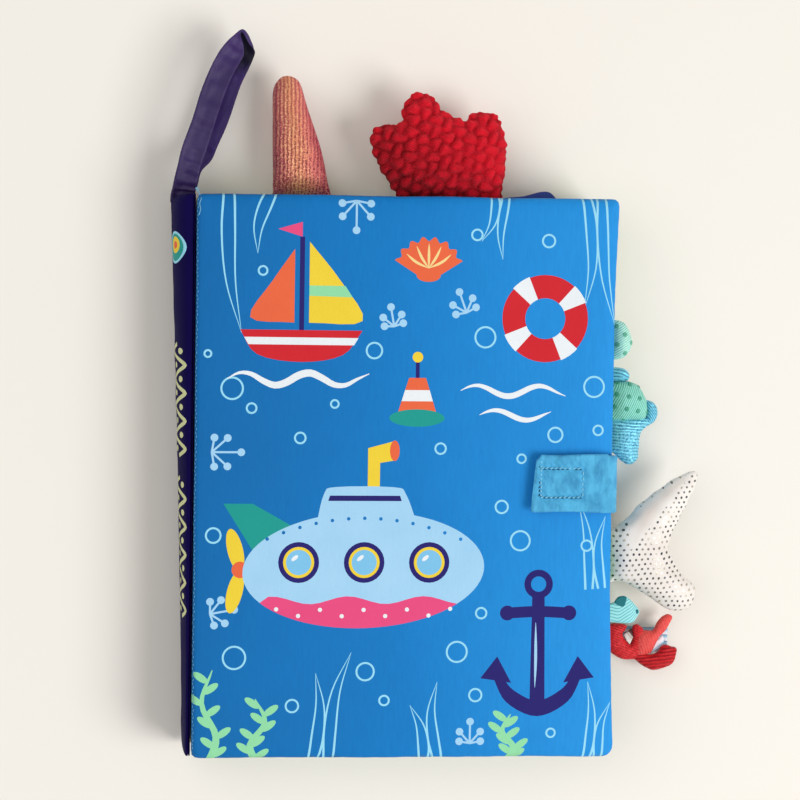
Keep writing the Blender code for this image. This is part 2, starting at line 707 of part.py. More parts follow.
def build():
    clear_scene()
    cover_print = finish("cover_print", (34, 125, 200), 0.55)
    lining_print = finish("lining_print", (120, 200, 215), 0.55)
    navy = finish("navy_cloth", (30, 16, 78), 0.7)
    padding = finish("white_padding", (238, 238, 234), 0.95)
    stuffing = finish("white_stuffing", (244, 242, 236), 0.95)
    film = finish("crinkle_film", (220, 226, 230), 0.2)
    turquoise = finish("turquoise_cloth", (72, 172, 208), 0.6)
    loops = finish("loop_pile", (225, 232, 238), 0.95)
    hooks = finish("hook_tape", (235, 238, 240), 0.7)
    satin = finish("purple_satin", (70, 58, 115), 0.45)
    lame = finish("pleated_lame", (196, 110, 96), 0.35, 0.6)
    bobble_knit = finish("bobble_knit", (196, 14, 30), 0.9)
    green_rib = finish("green_rib", (126, 200, 160), 0.8)
    teal_rib = finish("teal_rib", (60, 160, 178), 0.45, 0.3)
    dotted_white = finish("dotted_white", (240, 234, 226), 0.6)
    red_rib = finish("red_rib", (205, 34, 40), 0.5, 0.2)
    wave_print = finish("wave_print", (150, 214, 222), 0.6)
    sky_ribbon = finish("sky_ribbon", (150, 185, 215), 0.6)
    page_colours = ((250, 206, 84), (140, 205, 120), (240, 128, 108), (30, 40, 120))

    book = pivot("back_cover_frame", None, cover_hinge_x, 0.0, back_height)
    spine_pivot = pivot("spine_fold", book, cover_hinge_x, 0.0, back_height)
    front_pivot = pivot("front_cover_fold", spine_pivot, cover_hinge_x, 0.0, front_height)
    cover("back_cover", book, False, (cover_print, lining_print, padding))
    cover("front_cover", front_pivot, True, (cover_print, lining_print, padding))
    spine(spine_pivot, (navy, lining_print, padding))

    leaves = {}
    for number in range(1, leaf_count + 1):
        height = front_height - number * layer_pitch
        colour = page_colours[(number - 1) % len(page_colours)]
        page = finish(f"leaf_{number}_print", colour, 0.55)
        leaves[number] = pivot(f"leaf_{number}_fold", spine_pivot, leaf_hinge_x, 0.0, height)
        leaf(number, leaves[number], (page, page, padding, film))

    side_hinge_x = tab_inner_x - half_seam
    side_pivot = pivot("tab_side_fold", book, side_hinge_x, 0.0, back_height)
    corner_x = tab_inner_x + tab_thickness - tab_bend_radius / 2
    corner_z = flap_top - tab_bend_radius / 2
    flap_pivot = pivot("tab_flap_fold", side_pivot, corner_x, 0.0, corner_z)
    closure(side_pivot, flap_pivot, front_pivot, (turquoise, loops, hooks))

    strap_x = spine_face_x - strap_from_spine_face
    strap_z = (front_height + back_height) / 2
    strap_pivot = pivot("strap_swing", spine_pivot, strap_x, half_height + strap_seat, strap_z)
    carry_strap(strap_pivot, satin)

    horn = tail_pivot("horn_flap", leaves[3], head_edge, horn_from_spine)
    sizes = (horn_width, horn_length, horn_swell, horn_side_round, horn_root_taper)
    stuffed_tail("horn", horn_shares, sizes, head_edge, horn, (lame, lame, stuffing))
    bobble = tail_pivot("bobble_flap", leaves[2], head_edge, bobble_from_spine)
    sizes = (bobble_width, bobble_length, bobble_swell, bobble_side_round, bobble_root_taper)
    knit = (bobble_knit, bobble_knit, stuffing)
    stuffed_tail("bobble", bobble_shares, sizes, head_edge, bobble, knit)
    dome = tail_pivot("dome_flap", leaves[1], fore_edge, dome_from_foot)
    sizes = (dome_width, dome_length, dome_swell, dome_side_round, dome_root_taper)
    stuffed_tail("dome", dome_shares, sizes, fore_edge, dome, (green_rib, green_rib, stuffing))
    shell = tail_pivot("shell_flap", leaves[3], fore_edge, shell_from_foot)
    shell_tail(shell, green_rib, teal_rib, stuffing)
    fin = tail_pivot("fin_flap", leaves[2], fore_edge, fin_from_foot)
    sizes = (fin_width, fin_length, fin_swell, fin_side_round, fin_root_taper)
    white = (dotted_white, dotted_white, stuffing)
    stuffed_tail("fin", fin_shares, sizes, fore_edge, fin, white)
    ribbon = tail_pivot("ribbon_flap", leaves[3], fore_edge, wave_ribbon_from_foot)
    wave_ribbon(ribbon, wave_print)
    claw = tail_pivot("claw_flap", leaves[4], fore_edge, claw_from_foot)
    claw_tail(claw, red_rib, sky_ribbon)


build()
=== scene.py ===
import math

import bpy
import numpy as np
from mathutils import Matrix, Vector, kdtree
from mathutils.geometry import delaunay_2d_cdt


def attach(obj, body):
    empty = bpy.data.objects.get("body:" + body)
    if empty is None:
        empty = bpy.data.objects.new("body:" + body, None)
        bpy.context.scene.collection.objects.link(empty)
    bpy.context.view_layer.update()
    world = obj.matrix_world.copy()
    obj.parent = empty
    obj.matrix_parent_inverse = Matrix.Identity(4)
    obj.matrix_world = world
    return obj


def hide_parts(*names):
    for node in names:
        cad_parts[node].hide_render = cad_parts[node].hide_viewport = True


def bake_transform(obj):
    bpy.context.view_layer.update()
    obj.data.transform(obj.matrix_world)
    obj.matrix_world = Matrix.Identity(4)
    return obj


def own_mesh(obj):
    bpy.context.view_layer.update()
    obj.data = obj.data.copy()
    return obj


# A baby's soft book lying shut on its back cover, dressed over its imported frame.
# Shapes are worked out in millimetres here and turned into metres as each mesh is made.

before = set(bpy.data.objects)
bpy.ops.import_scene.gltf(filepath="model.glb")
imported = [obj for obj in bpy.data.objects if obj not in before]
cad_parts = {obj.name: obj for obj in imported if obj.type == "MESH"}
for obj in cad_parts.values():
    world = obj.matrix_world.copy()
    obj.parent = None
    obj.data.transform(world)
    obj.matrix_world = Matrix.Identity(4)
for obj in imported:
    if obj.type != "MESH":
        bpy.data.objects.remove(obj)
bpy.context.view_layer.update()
mm = 0.001
halfWide, halfTall = 87, 115    # of the cloth covers
print("frame loaded:", len(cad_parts), "nodes")


# ---- shader helpers

def ink(red, green, blue):
    # A colour as seen on a screen, 0 to 255, as the shader wants it.
    shares = (c / 255 for c in (red, green, blue))
    return (*(c / 12.92 if c <= 0.04045 else ((c + 0.055) / 1.055) ** 2.4 for c in shares), 1.0)


class Wire:
    # A socket that takes part in sums, either way round. Plain values use Math, vectors Vector Math.
    def __init__(self, finish, socket, many=False):
        self.finish, self.socket, self.many = finish, socket, many

    def worked(self, how, *values):
        kind = "ShaderNodeVectorMath" if self.many else "ShaderNodeMath"
        return self.finish.node(kind, {"operation": how}, dict(enumerate(values)), many=self.many)

    __add__ = lambda self, other: self.worked("ADD", self, other)
    __radd__ = lambda self, other: self.worked("ADD", other, self)
    __sub__ = lambda self, other: self.worked("SUBTRACT", self, other)
    __rsub__ = lambda self, other: self.worked("SUBTRACT", other, self)
    __mul__ = lambda self, other: self.worked("MULTIPLY", self, other)
    __rmul__ = lambda self, other: self.worked("MULTIPLY", other, self)
    __truediv__ = lambda self, other: self.worked("DIVIDE", self, other)
    __rtruediv__ = lambda self, other: self.worked("DIVIDE", other, self)
    __pow__ = lambda self, other: self.worked("POWER", self, other)
    __rpow__ = lambda self, other: self.worked("POWER", other, self)
    sine = lambda self: self.worked("SINE", self)
    atLeast = lambda self, other: self.worked("MAXIMUM", self, other)
    atMost = lambda self, other: self.worked("MINIMUM", self, other)
    over = lambda self, other: self.worked("GREATER_THAN", self, other)
    wrapped = lambda self, span: self.worked("FLOORED_MODULO", self, span)


class Finish:
    # One procedural material. plain sets the shader's own sockets.
    def __init__(self, name, plain=None):
        self.material = bpy.data.materials.new(name)
        self.material.use_nodes = True
        self.tree = self.material.node_tree
        self.shader = self.tree.nodes["Principled BSDF"]
        for socket, value in (plain or {}).items():
            self.shader.inputs[socket].default_value = value

    def node(self, kind, settings=None, values=None, out=0, many=False):
        made = self.tree.nodes.new(kind)
        for key, value in (settings or {}).items():
            if key == "stops":
                while len(made.color_ramp.elements) < len(value):
                    made.color_ramp.elements.new(1.0)
                for element, (position, colour) in zip(made.color_ramp.elements, value):
                    element.position, element.color = position, colour
            else:
                setattr(made, key, value)
        for key, value in (values or {}).items():
            socket = made.inputs[key]
            if isinstance(value, Wire):
                self.tree.links.new(value.socket, socket)
            elif hasattr(socket.default_value, "__len__") and not hasattr(value, "__len__"):
                socket.default_value = [value] * len(socket.default_value)
            else:
                socket.default_value = value
        return Wire(self, made.outputs[out], many)

    def place(self, stretch=(1, 1, 1)):
        # Where on the object a point is, in millimetres.
        spot = self.node("ShaderNodeTexCoord", out="Object", many=True)
        return spot * tuple(1000 * s for s in stretch)

    def across(self, axis):
        return self.node("ShaderNodeSeparateXYZ", None, {0: self.place()}, out=axis)

    def noise(self, perMm, detail=3.0, stretch=(1, 1, 1)):
        values = {"Vector": self.place(stretch), "Scale": perMm, "Detail": detail}
        return self.node("ShaderNodeTexNoise", None, values)

    def mixed(self, share, first, second):
        return self.node("ShaderNodeMix", {"data_type": "RGBA"}, {0: share, 6: first, 7: second}, out=2)

    def ramp(self, share, stops):
        return self.node("ShaderNodeValToRGB", {"stops": stops}, {0: share})

    def weave(self, pitch):
        # Threads over and under, as a height from -1 to 1.
        turn = 2 * math.pi / pitch
        return (self.across("X") * turn).sine() * (self.across("Y") * turn).sine()

    def paint(self, colour, rough=None, height=None, depth=0.1, metal=None):
        # depth is in millimetres for a height of 1.
        feeds = {"Base Color": colour, "Roughness": rough, "Metallic": metal}
        if height is not None:
            values = {"Height": height, "Distance": depth * mm, "Strength": 1.0}
            feeds["Normal"] = self.node("ShaderNodeBump", None, values)
        for name, wire in feeds.items():
            if wire is not None:
                self.tree.links.new(wire.socket, self.shader.inputs[name])
        return self.material


def deeper(colour):
    return (*(c * 0.8 for c in colour[:3]), 1.0)


def clothFinish(name, colour, deep=None, rough=0.72, sheen=0.06, pitch=0.42, depth=0.03, shine=0.22):
    # Printed or dyed woven cloth: thread weave, slubs, and a little unevenness of the dye.
    finish = Finish(name, {"Sheen Weight": sheen, "Sheen Roughness": 0.5, "Specular IOR Level": shine})
    weave, cloud = finish.weave(pitch), finish.noise(0.06, 4.0)
    slub = finish.noise(0.9, 2.0, (1, 0.15, 1))
    share = cloud * 0.5 + slub * 0.22 - weave * 0.1 - 0.14
    dyed = finish.mixed(share, colour, deep or deeper(colour))
    return finish.paint(dyed, cloud * 0.14 + (rough - 0.07), weave * 0.7 + slub, depth)


def seaFinish(name, left, right):
    # The cover's ground: darker towards the spine and lighter towards the fore-edge, partly the print's own
    # tone and partly painted shade and light for the light falling from the right.
    finish = Finish(name, {"Sheen Weight": 0.03, "Sheen Roughness": 0.5, "Specular IOR Level": 0.18})
    weave, cloud = finish.weave(0.42), finish.noise(0.02, 3.0)
    slub = finish.noise(0.9, 2.0, (1, 0.15, 1))
    # Left to right across the cover: partly painted shade on the spine side and painted light on the fore-edge
    # side.
    along = (finish.across("X") + halfWide) / (2 * halfWide) + cloud * 0.3 - 0.15
    ground = finish.ramp(along, [(0.0, left), (0.5, ink(8, 128, 204)), (1.0, right)])
    dyed = finish.mixed(slub * 0.25 - weave * 0.08, ground, ink(2, 74, 148))
    return finish.paint(dyed, cloud * 0.14 + 0.55, weave * 0.7 + slub, 0.03)


def paddingFinish(name, colour):
    # Fluffy polyester fill, hidden inside the cloth.
    finish = Finish(name, {"Sheen Weight": 0.6, "Specular IOR Level": 0.2})
    fluff = finish.noise(0.8, 6.0)
    return finish.paint(finish.mixed(fluff, colour, deeper(colour)), fluff * 0.1 + 0.85, fluff, 0.5)


inks = {"sea": seaFinish("seaGround", ink(0, 108, 176), ink(36, 156, 236))}
for key, called, *dyes in (
        ("foam", "foam", (158, 226, 250)), ("hull", "paleBlue", (170, 216, 246), (140, 196, 232)),
        ("pink", "pink", (238, 78, 132)), ("navy", "navy", (36, 28, 112)),
        ("sunny", "yellow", (246, 214, 58)), ("coral", "orange", (240, 106, 66)),
        ("mint", "mint", (150, 226, 172)), ("red", "red", (214, 34, 46)),
        ("white", "white", (240, 246, 250)), ("teal", "teal", (26, 158, 148)),
        ("sky", "sky", (130, 200, 240)), ("sand", "sand", (250, 222, 150)),
        ("lime", "lime", (206, 222, 80)), ("cream", "cream", (214, 218, 164))):
    inks[key] = clothFinish(called + "Ink", *(ink(*dye) for dye in dyes))
inkOrder = list(inks)
print("inks mixed:", len(inks))


# ---- mesh helpers

def unit(rows):
    return rows / np.linalg.norm(rows, axis=1)[:, None]


def smoothLine(points, steps, closed=False):
    # A curve through the points.
    points = np.array(points, float)
    if closed:
        points = np.vstack([points[-1], points, points[:2]])
    else:
        points = np.vstack([2 * points[0] - points[1], points, 2 * points[-1] - points[-2]])
    line = []
    for a, b, c, d in zip(points, points[1:], points[2:], points[3:]):
        for t in np.arange(steps) / steps:
            bent = (2 * a - 5 * b + 4 * c - d) * t**2 + (3 * b - a - 3 * c + d) * t**3
            line.append((2 * b + (c - a) * t + bent) / 2)
    if not closed:
        line.append(points[-2])
    return np.array(line)


def spaced(line, gap, closed=True):
    # The same line with points about gap apart.
    ring = np.vstack([line, line[:1]]) if closed else line
    run = np.concatenate([[0], np.cumsum(np.linalg.norm(np.diff(ring, axis=0), axis=1))])
    count = max(3, int(round(run[-1] / gap)))
    at = np.linspace(0, run[-1], count + 1)
    found = np.stack([np.interp(at, run, ring[:, k]) for k in range(ring.shape[1])], axis=1)
    return found[:-1] if closed else found


def nearestOn(line, points):
    # How far each point is from the closed line, and how far along the line that is.
    run = np.roll(line, -1, axis=0) - line
    length = np.linalg.norm(run, axis=1)
    begun = np.concatenate([[0], np.cumsum(length)[:-1]])
    far, along = [], []
    for part in np.array_split(points, max(1, len(points) * len(line) // 400000)):
        offset = part[:, None, :] - line[None, :, :]
        share = np.clip((offset * run).sum(axis=2) / np.maximum(length**2, 1e-12), 0, 1)
        gap = np.linalg.norm(offset - share[:, :, None] * run, axis=2)
        best = gap.argmin(axis=1)
        row = np.arange(len(part))
        far.append(gap[row, best])
        along.append(begun[best] + share[row, best] * length[best])
    return np.concatenate(far), np.concatenate(along)


def inside(line, points):
    ends = np.roll(line, -1, axis=0)
    rise = np.where(ends[:, 1] == line[:, 1], 1.0, ends[:, 1] - line[:, 1])
    hits = np.zeros(len(points), int)
    for (ax, ay), (_, by), (bx, _), up in zip(line, ends, ends, rise):
        straddles = (ay > points[:, 1]) != (by > points[:, 1])
        hits += straddles & (points[:, 0] < ax + (points[:, 1] - ay) / up * (bx - ax))
    return hits % 2 == 1


def anticlockwise(line):
    ends = np.roll(line, -1, axis=0)
    return line if (line[:, 0] * ends[:, 1] - line[:, 1] * ends[:, 0]).sum() > 0 else line[::-1]


def drawnIn(line, inset):
    # The line's points moved inwards, without those that come too near another side.
    line = anticlockwise(line)
    run = unit(np.roll(line, -1, axis=0) - np.roll(line, 1, axis=0))
    moved = line + inset * np.stack([-run[:, 1], run[:, 0]], axis=1)
    return moved[inside(line, moved) & (nearestOn(line, moved)[0] > inset * 0.9)]


def hexGrid(line, gap, margin):
    # Points in staggered rows, all over the inside but for a margin.
    low, high = line.min(axis=0), line.max(axis=0)
    rows = np.arange(low[1] + gap / 2, high[1], gap * 0.866)
    columns = np.arange(low[0] - gap, high[0] + gap, gap)
    found = np.array([(x + gap / 2 * (n % 2), y) for n, y in enumerate(rows) for x in columns])
    found = found[inside(line, found)]
    return found[nearestOn(line, found)[0] > margin]


def roundRise(distance, reach):
    # Nought at a seam, one from the reach inwards, round like a pillow's side.
    return np.sqrt(1 - (1 - np.clip(distance / reach, 0, 1)) ** 2)


def ripple(points, wave, seed, count=7):
    # Soft unevenness from -1 to 1, the same on every run.
    chance = np.random.default_rng(seed)
    turn, phase = chance.uniform(0, math.pi, count), chance.uniform(0, 6.28, count)
    size = 2 * math.pi / (wave * chance.uniform(0.7, 1.5, count))
    waves = [np.sin(points[:, 0] * s * math.cos(t) + points[:, 1] * s * math.sin(t) + p)
             for t, s, p in zip(turn, size, phase)]
    return np.sum(waves, axis=0) / count * 1.6


def signedArea(flat, faces):
    # Of each triangle: below nought where its points run clockwise.
    a, b, c = (flat[faces[:, k]] for k in range(3))
    return 0.5 * ((b - a)[:, 0] * (c - a)[:, 1] - (b - a)[:, 1] * (c - a)[:, 0])


def cutFlat(outline, grid, prints=()):
    # Triangles that fill the outline, cut along every printed edge, and the rim's points.
    outline = anticlockwise(np.array(outline))
    shapes = [outline] + [np.array(p) for p in prints]
    if prints:
        samples = np.vstack([spaced(p, 0.6) for p in prints])
        tree = kdtree.KDTree(len(samples))
        for n, (x, y) in enumerate(samples):
            tree.insert((x, y, 0), n)
        tree.balance()
        grid = np.array([p for p in grid if tree.find((p[0], p[1], 0))[2] > 0.9])
    edges, first = [], len(outline)
    for shape in shapes[1:]:
        count = len(shape)
        edges += [(first + n, first + (n + 1) % count) for n in range(count)]
        first += count
    points = np.vstack(shapes + ([grid] if len(grid) else []))
    loop = list(range(len(outline)))
    flat, _, faces, *_ = delaunay_2d_cdt([Vector(p) for p in points], edges, [loop], 1, 1e-5)
    flat = np.array([tuple(p) for p in flat])
    faces = np.array([f if len(f) == 3 else f[:3] for f in faces])
    faces = faces[inside(outline, flat[faces].mean(axis=1))]
    turned = signedArea(flat, faces) < 0
    faces[turned] = faces[turned][:, ::-1]
    used, faces = np.unique(faces, return_inverse=True)
    flat, faces = flat[used], faces.reshape(-1, 3)
    pairs = {(f[i], f[(i + 1) % 3]) for f in faces.tolist() for i in range(3)}
    rim = sorted({p for pair in pairs if pair[::-1] not in pairs for p in pair})
    return flat, faces, np.array(rim)


def printedInks(flat, faces, prints, ground):
    # Which ink each face has: the last shape printed over it wins.
    centres = flat[faces].mean(axis=1)
    found = np.full(len(faces), inkOrder.index(ground))
    for name, shape in prints:
        low, high = np.min(shape, axis=0), np.max(shape, axis=0)
        near = np.flatnonzero(((centres >= low) & (centres <= high)).all(axis=1))
        near = near[inside(np.array(shape), centres[near])] if len(near) else near
        found[near] = inkOrder.index(name)
    return found


def piece(name, points, faces, materials, chosen=None):
    # A mesh from millimetres.
    mesh = bpy.data.meshes.new(name)
    mesh.from_pydata((np.asarray(points, float) * mm).tolist(), [], [list(map(int, f)) for f in faces])
    for material in materials:
        mesh.materials.append(material)
    if chosen is not None:
        mesh.polygons.foreach_set("material_index", np.asarray(chosen, np.int32))
    mesh.shade_smooth()
    mesh.update()
    made = bpy.data.objects.new(name, mesh)
    bpy.context.scene.collection.objects.link(made)
    return made


def pillow(flat, faces, rim, upper, lower):
    # Two layers of one flat cut that share their rim, as points and faces.
    count = len(flat)
    seam = np.zeros(count, bool)
    seam[rim] = True
    below = np.full(count, -1)
    below[~seam] = count + np.arange((~seam).sum())
    below[seam] = np.flatnonzero(seam)
    top = np.column_stack([flat, np.where(seam, (upper + lower) / 2, upper)])
    bottom = np.column_stack([flat, lower])[~seam]
    return np.vstack([top, bottom]), np.vstack([faces, below[faces][:, ::-1]])


def smoothed(made, levels, crease=()):
    # Subdivides for good. crease holds the points of a seam that stays crisp.
    if len(crease):
        keep = set(int(c) for c in crease)
        layer = made.data.attributes.new("crease_edge", "FLOAT", "EDGE")
        for edge in made.data.edges:
            layer.data[edge.index].value = 0.7 * (edge.vertices[0] in keep and edge.vertices[1] in keep)
    step = made.modifiers.new("smooth", "SUBSURF")
    step.levels = step.render_levels = levels
    bpy.context.view_layer.update()
    graph = bpy.context.evaluated_depsgraph_get()
    mesh = bpy.data.meshes.new_from_object(made.evaluated_get(graph))
    made.modifiers.clear()
    made.data = mesh
    mesh.shade_smooth()


def readPoints(mesh, what="co"):
    flat = np.empty(len(mesh.vertices) * 3, np.float32)
    mesh.vertices.foreach_get(what, flat)
    return flat.reshape(-1, 3).astype(float)


def movePoints(made, points):
    made.data.vertices.foreach_set("co", (points * mm).astype(np.float32).ravel())
    made.data.update()


def raised(made, relief):
    # Pushes every point out along its normal by relief(points, normals), in millimetres.
    points, normals = readPoints(made.data) / mm, readPoints(made.data, "normal")
    movePoints(made, points + normals * relief(points, normals)[:, None])


def tube(path, radius, sides=6):
    # Points and faces of a closed thread along a path. radius may vary.
    path = np.array(path, float)
    radius = np.broadcast_to(radius, len(path))
    run = unit(np.gradient(path, axis=0))
    side = unit(np.cross(run, np.where(np.abs(run[:, 2:]) > 0.9, (1.0, 0, 0), (0, 0, 1.0))))
    lift = np.cross(side, run)
    angles = np.arange(sides) * 2 * math.pi / sides
    points = [p + r * (s * math.cos(a) + l * math.sin(a))
              for p, s, l, r in zip(path, side, lift, radius) for a in angles]
    faces = []
    for n in range(0, (len(path) - 1) * sides, sides):
        for k in range(sides):
            after = (k + 1) % sides
            faces.append((n + k, n + after, n + sides + after, n + sides + k))
    last = (len(path) - 1) * sides
    return points, faces + [tuple(range(sides))[::-1], tuple(range(last, last + sides))]


def stitches(name, runs, radius, material, body):
    # Many short threads in one mesh. A run is the points of one stitch.
    points, faces = [], []
    for path in runs:
        thickness = radius * np.sin(np.linspace(0.35, math.pi - 0.35, len(path)))
        found, sides = tube(path, thickness, 5)
        faces += [tuple(len(points) + n for n in face) for face in sides]
        points += [tuple(p) for p in found]
    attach(piece(name, points, faces, [material]), body)


def bandFaces(rows, columns):
    # The faces of a closed band: two layers, each a grid of points, joined round their rim.
    count, total = columns + 1, rows * (columns + 1)
    faces = []
    for n in range(rows - 1):
        for m in range(columns):
            a, d = n * count + m, (n + 1) * count + m
            b, c = a + 1, d + 1
            faces += [(a, b, c, d), (total + d, total + c, total + b, total + a)]
    rim = list(range(count)) + [n * count + columns for n in range(1, rows)]
    rim += [(rows - 1) * count + m for m in range(columns - 1, -1, -1)]
    rim += [n * count for n in range(rows - 2, 0, -1)]
    return faces + [(b, a, total + a, total + b) for a, b in zip(rim, rim[1:] + rim[:1])]


def roundedBox(low, high, radii, steps):
    # A rectangle with round corners, anticlockwise from the lower right one.
    line = []
    for n, radius in enumerate(radii):
        x = high[0] - radius if n < 2 else low[0] + radius
        y = high[1] - radius if n in (1, 2) else low[1] + radius
        for angle in np.radians(90 * n - 90 + np.linspace(0, 90, steps)):
            line.append((x + radius * math.cos(angle), y + radius * math.sin(angle)))
    return np.array(line)


# ---- printed shapes, in millimetres on the cover

def drawn(x, y, shapes, turn=0):
    # Shapes drawn about nought, turned and carried to their place.
    c, s = math.cos(math.radians(turn)), math.sin(math.radians(turn))
    return [(name, np.array(shape) @ ((c, s), (-s, c)) + (x, y)) for name, shape in shapes]


def ray(length, degrees):
    return length * np.array((math.cos(math.radians(degrees)), math.sin(math.radians(degrees))))


def band(half, y, farHalf, farY):
    # Four corners, as far to the left as to the right.
    return [(-half, y), (half, y), (farHalf, farY), (-farHalf, farY)]


def disc(x, y, wide, tall=None, turn=0, count=28):
    tall = wide if tall is None else tall
    angle = np.arange(count) * 2 * math.pi / count
    c, s = math.cos(math.radians(turn)), math.sin(math.radians(turn))
    a, b = wide * np.cos(angle), tall * np.sin(angle)
    return np.stack([x + a * c - b * s, y + a * s + b * c], axis=1)


def stroke(points, wide, ends="lens", steps=5):
    # A brush line: a lens is thin at both ends, a wisp at its far end, a bar at neither.
    line = smoothLine(points, steps)
    share = np.linspace(0, 1, len(line))
    profile = {"lens": np.sin(math.pi * share) ** 0.7, "wisp": np.sqrt(1 - share),
               "bar": np.ones(len(line))}[ends]
    half = wide / 2 * np.maximum(profile, 0.12)
    run = unit(np.gradient(line, axis=0))
    side = np.stack([-run[:, 1], run[:, 0]], axis=1) * half[:, None]
    return np.vstack([line + side, (line - side)[::-1]])


def bubble(x, y, radius, wide=0.8):
    count = 26 if radius > 3 else 16
    return [("foam", disc(x, y, radius, count=count)), ("sea", disc(x, y, radius - wide, count=count))]


def weed(x, y, lengths, lean, turn=0):
    # Blades drawn as two lines that meet at a tip, growing from one spot.
    made = []
    for n, length in enumerate(lengths):
        foot, bend = (n - (len(lengths) - 1) / 2) * lean * 1.5, lean * (0.9 if n % 2 else -0.7)
        for half in (-lean * 0.42, lean * 0.42):
            blade = [(foot + half, 0), (foot + half * 1.3 - bend * 0.25, length * 0.3),
                     (foot + half * 0.9 - bend * 0.1, length * 0.65), (foot + bend, length)]
            made.append(("foam", stroke(blade, 1.0, "wisp")))
    return drawn(x, y, made, turn)


def sprig(x, y, size, turn=0):
    # A small branching twig with a dot at each end.
    made = []
    for angle, share in ((0, 1.0), (42, 0.72), (-42, 0.72), (80, 0.5), (-80, 0.5)):
        end = ray(size * share, 90 + turn + angle)
        made += [("hull", stroke([(0, 0), end / 2, end], 0.85, "bar", 2)),
                 ("hull", disc(*end, 1.6, count=14))]
    return drawn(x, y, made)


def submarine(x, y):
    hull = disc(0, 0, 50, 24, 2, 72)
    keel = sorted((p for p in hull if p[1] < -12.5), key=lambda p: p[0])
    swell = [(a, 1.6 * math.sin((a - 17) / 5) - 12.5)
             for a in np.linspace(keel[-1][0], keel[0][0], 24)[1:-1]]
    made = [
        ("sunny", disc(-53, 8, 3.2, 9, 14)), ("sunny", disc(-53, -9, 3.2, 9, -14)),
        ("coral", disc(-51, 0, 3.4)), ("teal", [(-46, 8), (-58, 27), (-46, 27), (-30, 18)]),
        ("sunny", [(1, 30), (1, 50), (12, 53), (12, 45), (6, 44), (6, 30)]),
        ("coral", disc(12, 49, 2.0, 4.2)),
        ("hull", smoothLine([(-20, 18), (-17, 31), (-12, 34), (12, 34), (17, 31), (22, 18)], 4)),
        ("navy", band(14.5, 30.5, 15.2, 28.3)), ("hull", hull), ("pink", keel + swell),
    ]
    for n in range(-4, 5):
        made.append(("white", disc(9 * n, 0.02 * n**2 - 2.6 * (n % 2) - 16.5, 0.9, count=10)))
    for a in (-27, 0, 27):
        made += [("navy", disc(a, 3, 8.4)), ("sunny", disc(a, 3, 6.4)), ("sky", disc(a, 3, 5.2)),
                 ("white", disc(a - 1.6, 4.8, 1.7, 0.8, 40, 12))]
    made += [("sea", disc(40 / 6 * n, 21.2 - 8.6 * (n / 6) ** 2, 0.75, count=10)) for n in range(-6, 7)]
    return drawn(x, y, made)


def anchor(x, y):
    arms = smoothLine([(-19, -12), (-13, -23), (0, -29), (13, -23), (19, -12)], 5)
    inner = smoothLine([(15, -12), (10, -18), (0, -22.5), (-10, -18), (-15, -12)], 5)
    return drawn(x, y, [
        ("navy", disc(0, 26, 6)), ("sea", disc(0, 26, 3.2)), ("navy", band(2.6, 21, 3.2, -26)),
        ("navy", stroke([(-13, 14), (0, 14.6), (13, 14)], 4.6, "bar")),
        ("navy", disc(-13, 14, 3.1)), ("navy", disc(13, 14, 3.1)), ("navy", np.vstack([arms, inner])),
        ("navy", [(-24, -13), (-17, -4), (-11, -15)]), ("navy", [(24, -13), (11, -15), (17, -4)]),
        ("hull", stroke([(-1, 10), (-0.8, -4), (-1, -17)], 1.2)),
    ])


def sailingBoat(x, y):
    return drawn(x, y, [
        ("navy", band(1, -1, 1, 38)),
        ("coral", smoothLine([(-3, 3), (-21, 5), (-12, 20), (-3, 33)], 4)),
        ("sunny", smoothLine([(3, 3), (25, 4), (16, 20), (3, 36)], 4)),
        ("mint", [(3, 14), (20.8, 13.6), (17.8, 18.2), (3, 18.2)]),
        ("pink", [(0, 38), (-10, 41), (0, 44)]),
        ("red", smoothLine([(-25, 0), (-18, -10), (0, -13), (17, -10), (25, 0)], 4)),
        ("white", band(23.4, -3, 21.6, -6)),
    ])


def lifebuoy(x, y, radius):
    made = [("red", disc(0, 0, radius, count=48))]
    for middle in (35, 125, 215, 305):
        made.append(("white", [ray(radius + 0.4, middle + d) for d in (-13, -7, 0, 7, 13)]
                     + [ray(radius * 0.44, middle + d) for d in (13, 0, -13)]))
    return drawn(x, y, made + [("sea", disc(0, 0, radius * 0.47, count=36))])


def scallop(x, y, size):
    fan = [ray(size * (1 + 0.07 * math.cos(14 * math.pi * t)), 20 + 140 * t) for t in np.linspace(0, 1, 44)]
    made = [("coral", [(3, -2), *fan, (-3, -2)]), ("coral", disc(0, -1, 5, 2.6))]
    for angle in (40, 65, 90, 115, 140):
        made.append(("sand", stroke([(0, 2), ray(size * 0.5, angle), ray(size * 0.86, angle)], 1.1)))
    return drawn(x, y, made)


def buoy(x, y):
    return drawn(x, y, [
        ("navy", band(0.8, 8, 0.8, 17)), ("sunny", disc(0, 17.5, 2.2)), ("coral", band(3.5, 9, 8.5, -7)),
        ("white", band(5.1, 4, 6.5, -0.6)), ("teal", disc(0, -7.5, 11.5, 3.6)),
    ])


def kelp(x, y, height, lean, colour="mint"):
    stem = [(0, 0), (lean, height * 0.3), (-lean, height * 0.65), (lean * 0.4, height)]
    made = [(colour, stroke(stem, 3.4, "wisp"))]
    line = smoothLine(stem, 6)
    for n in range(2, len(line) - 1, 2):
        side = 1 if n % 4 else -1
        made.append((colour, disc(line[n][0] + side * 3, line[n][1] + 1.5, 3.6, 1.5, 35 * side, 14)))
    return drawn(x, y, made)


def waterLine(x, y, length, high=2.6, wide=3.0, colour="white"):
    points = [(t, high * math.sin(t / 4.2)) for t in np.linspace(0, length, 13)]
    return drawn(x, y, [(colour, stroke(points, wide, "lens", 3))])


def cloud(x, y, size):
    return drawn(x, y, [("white", disc(-size, 0, size, size * 0.8)), ("white", disc(size, 0, size, size * 0.8)),
                        ("white", disc(0, size * 0.6, size * 1.2, size))])


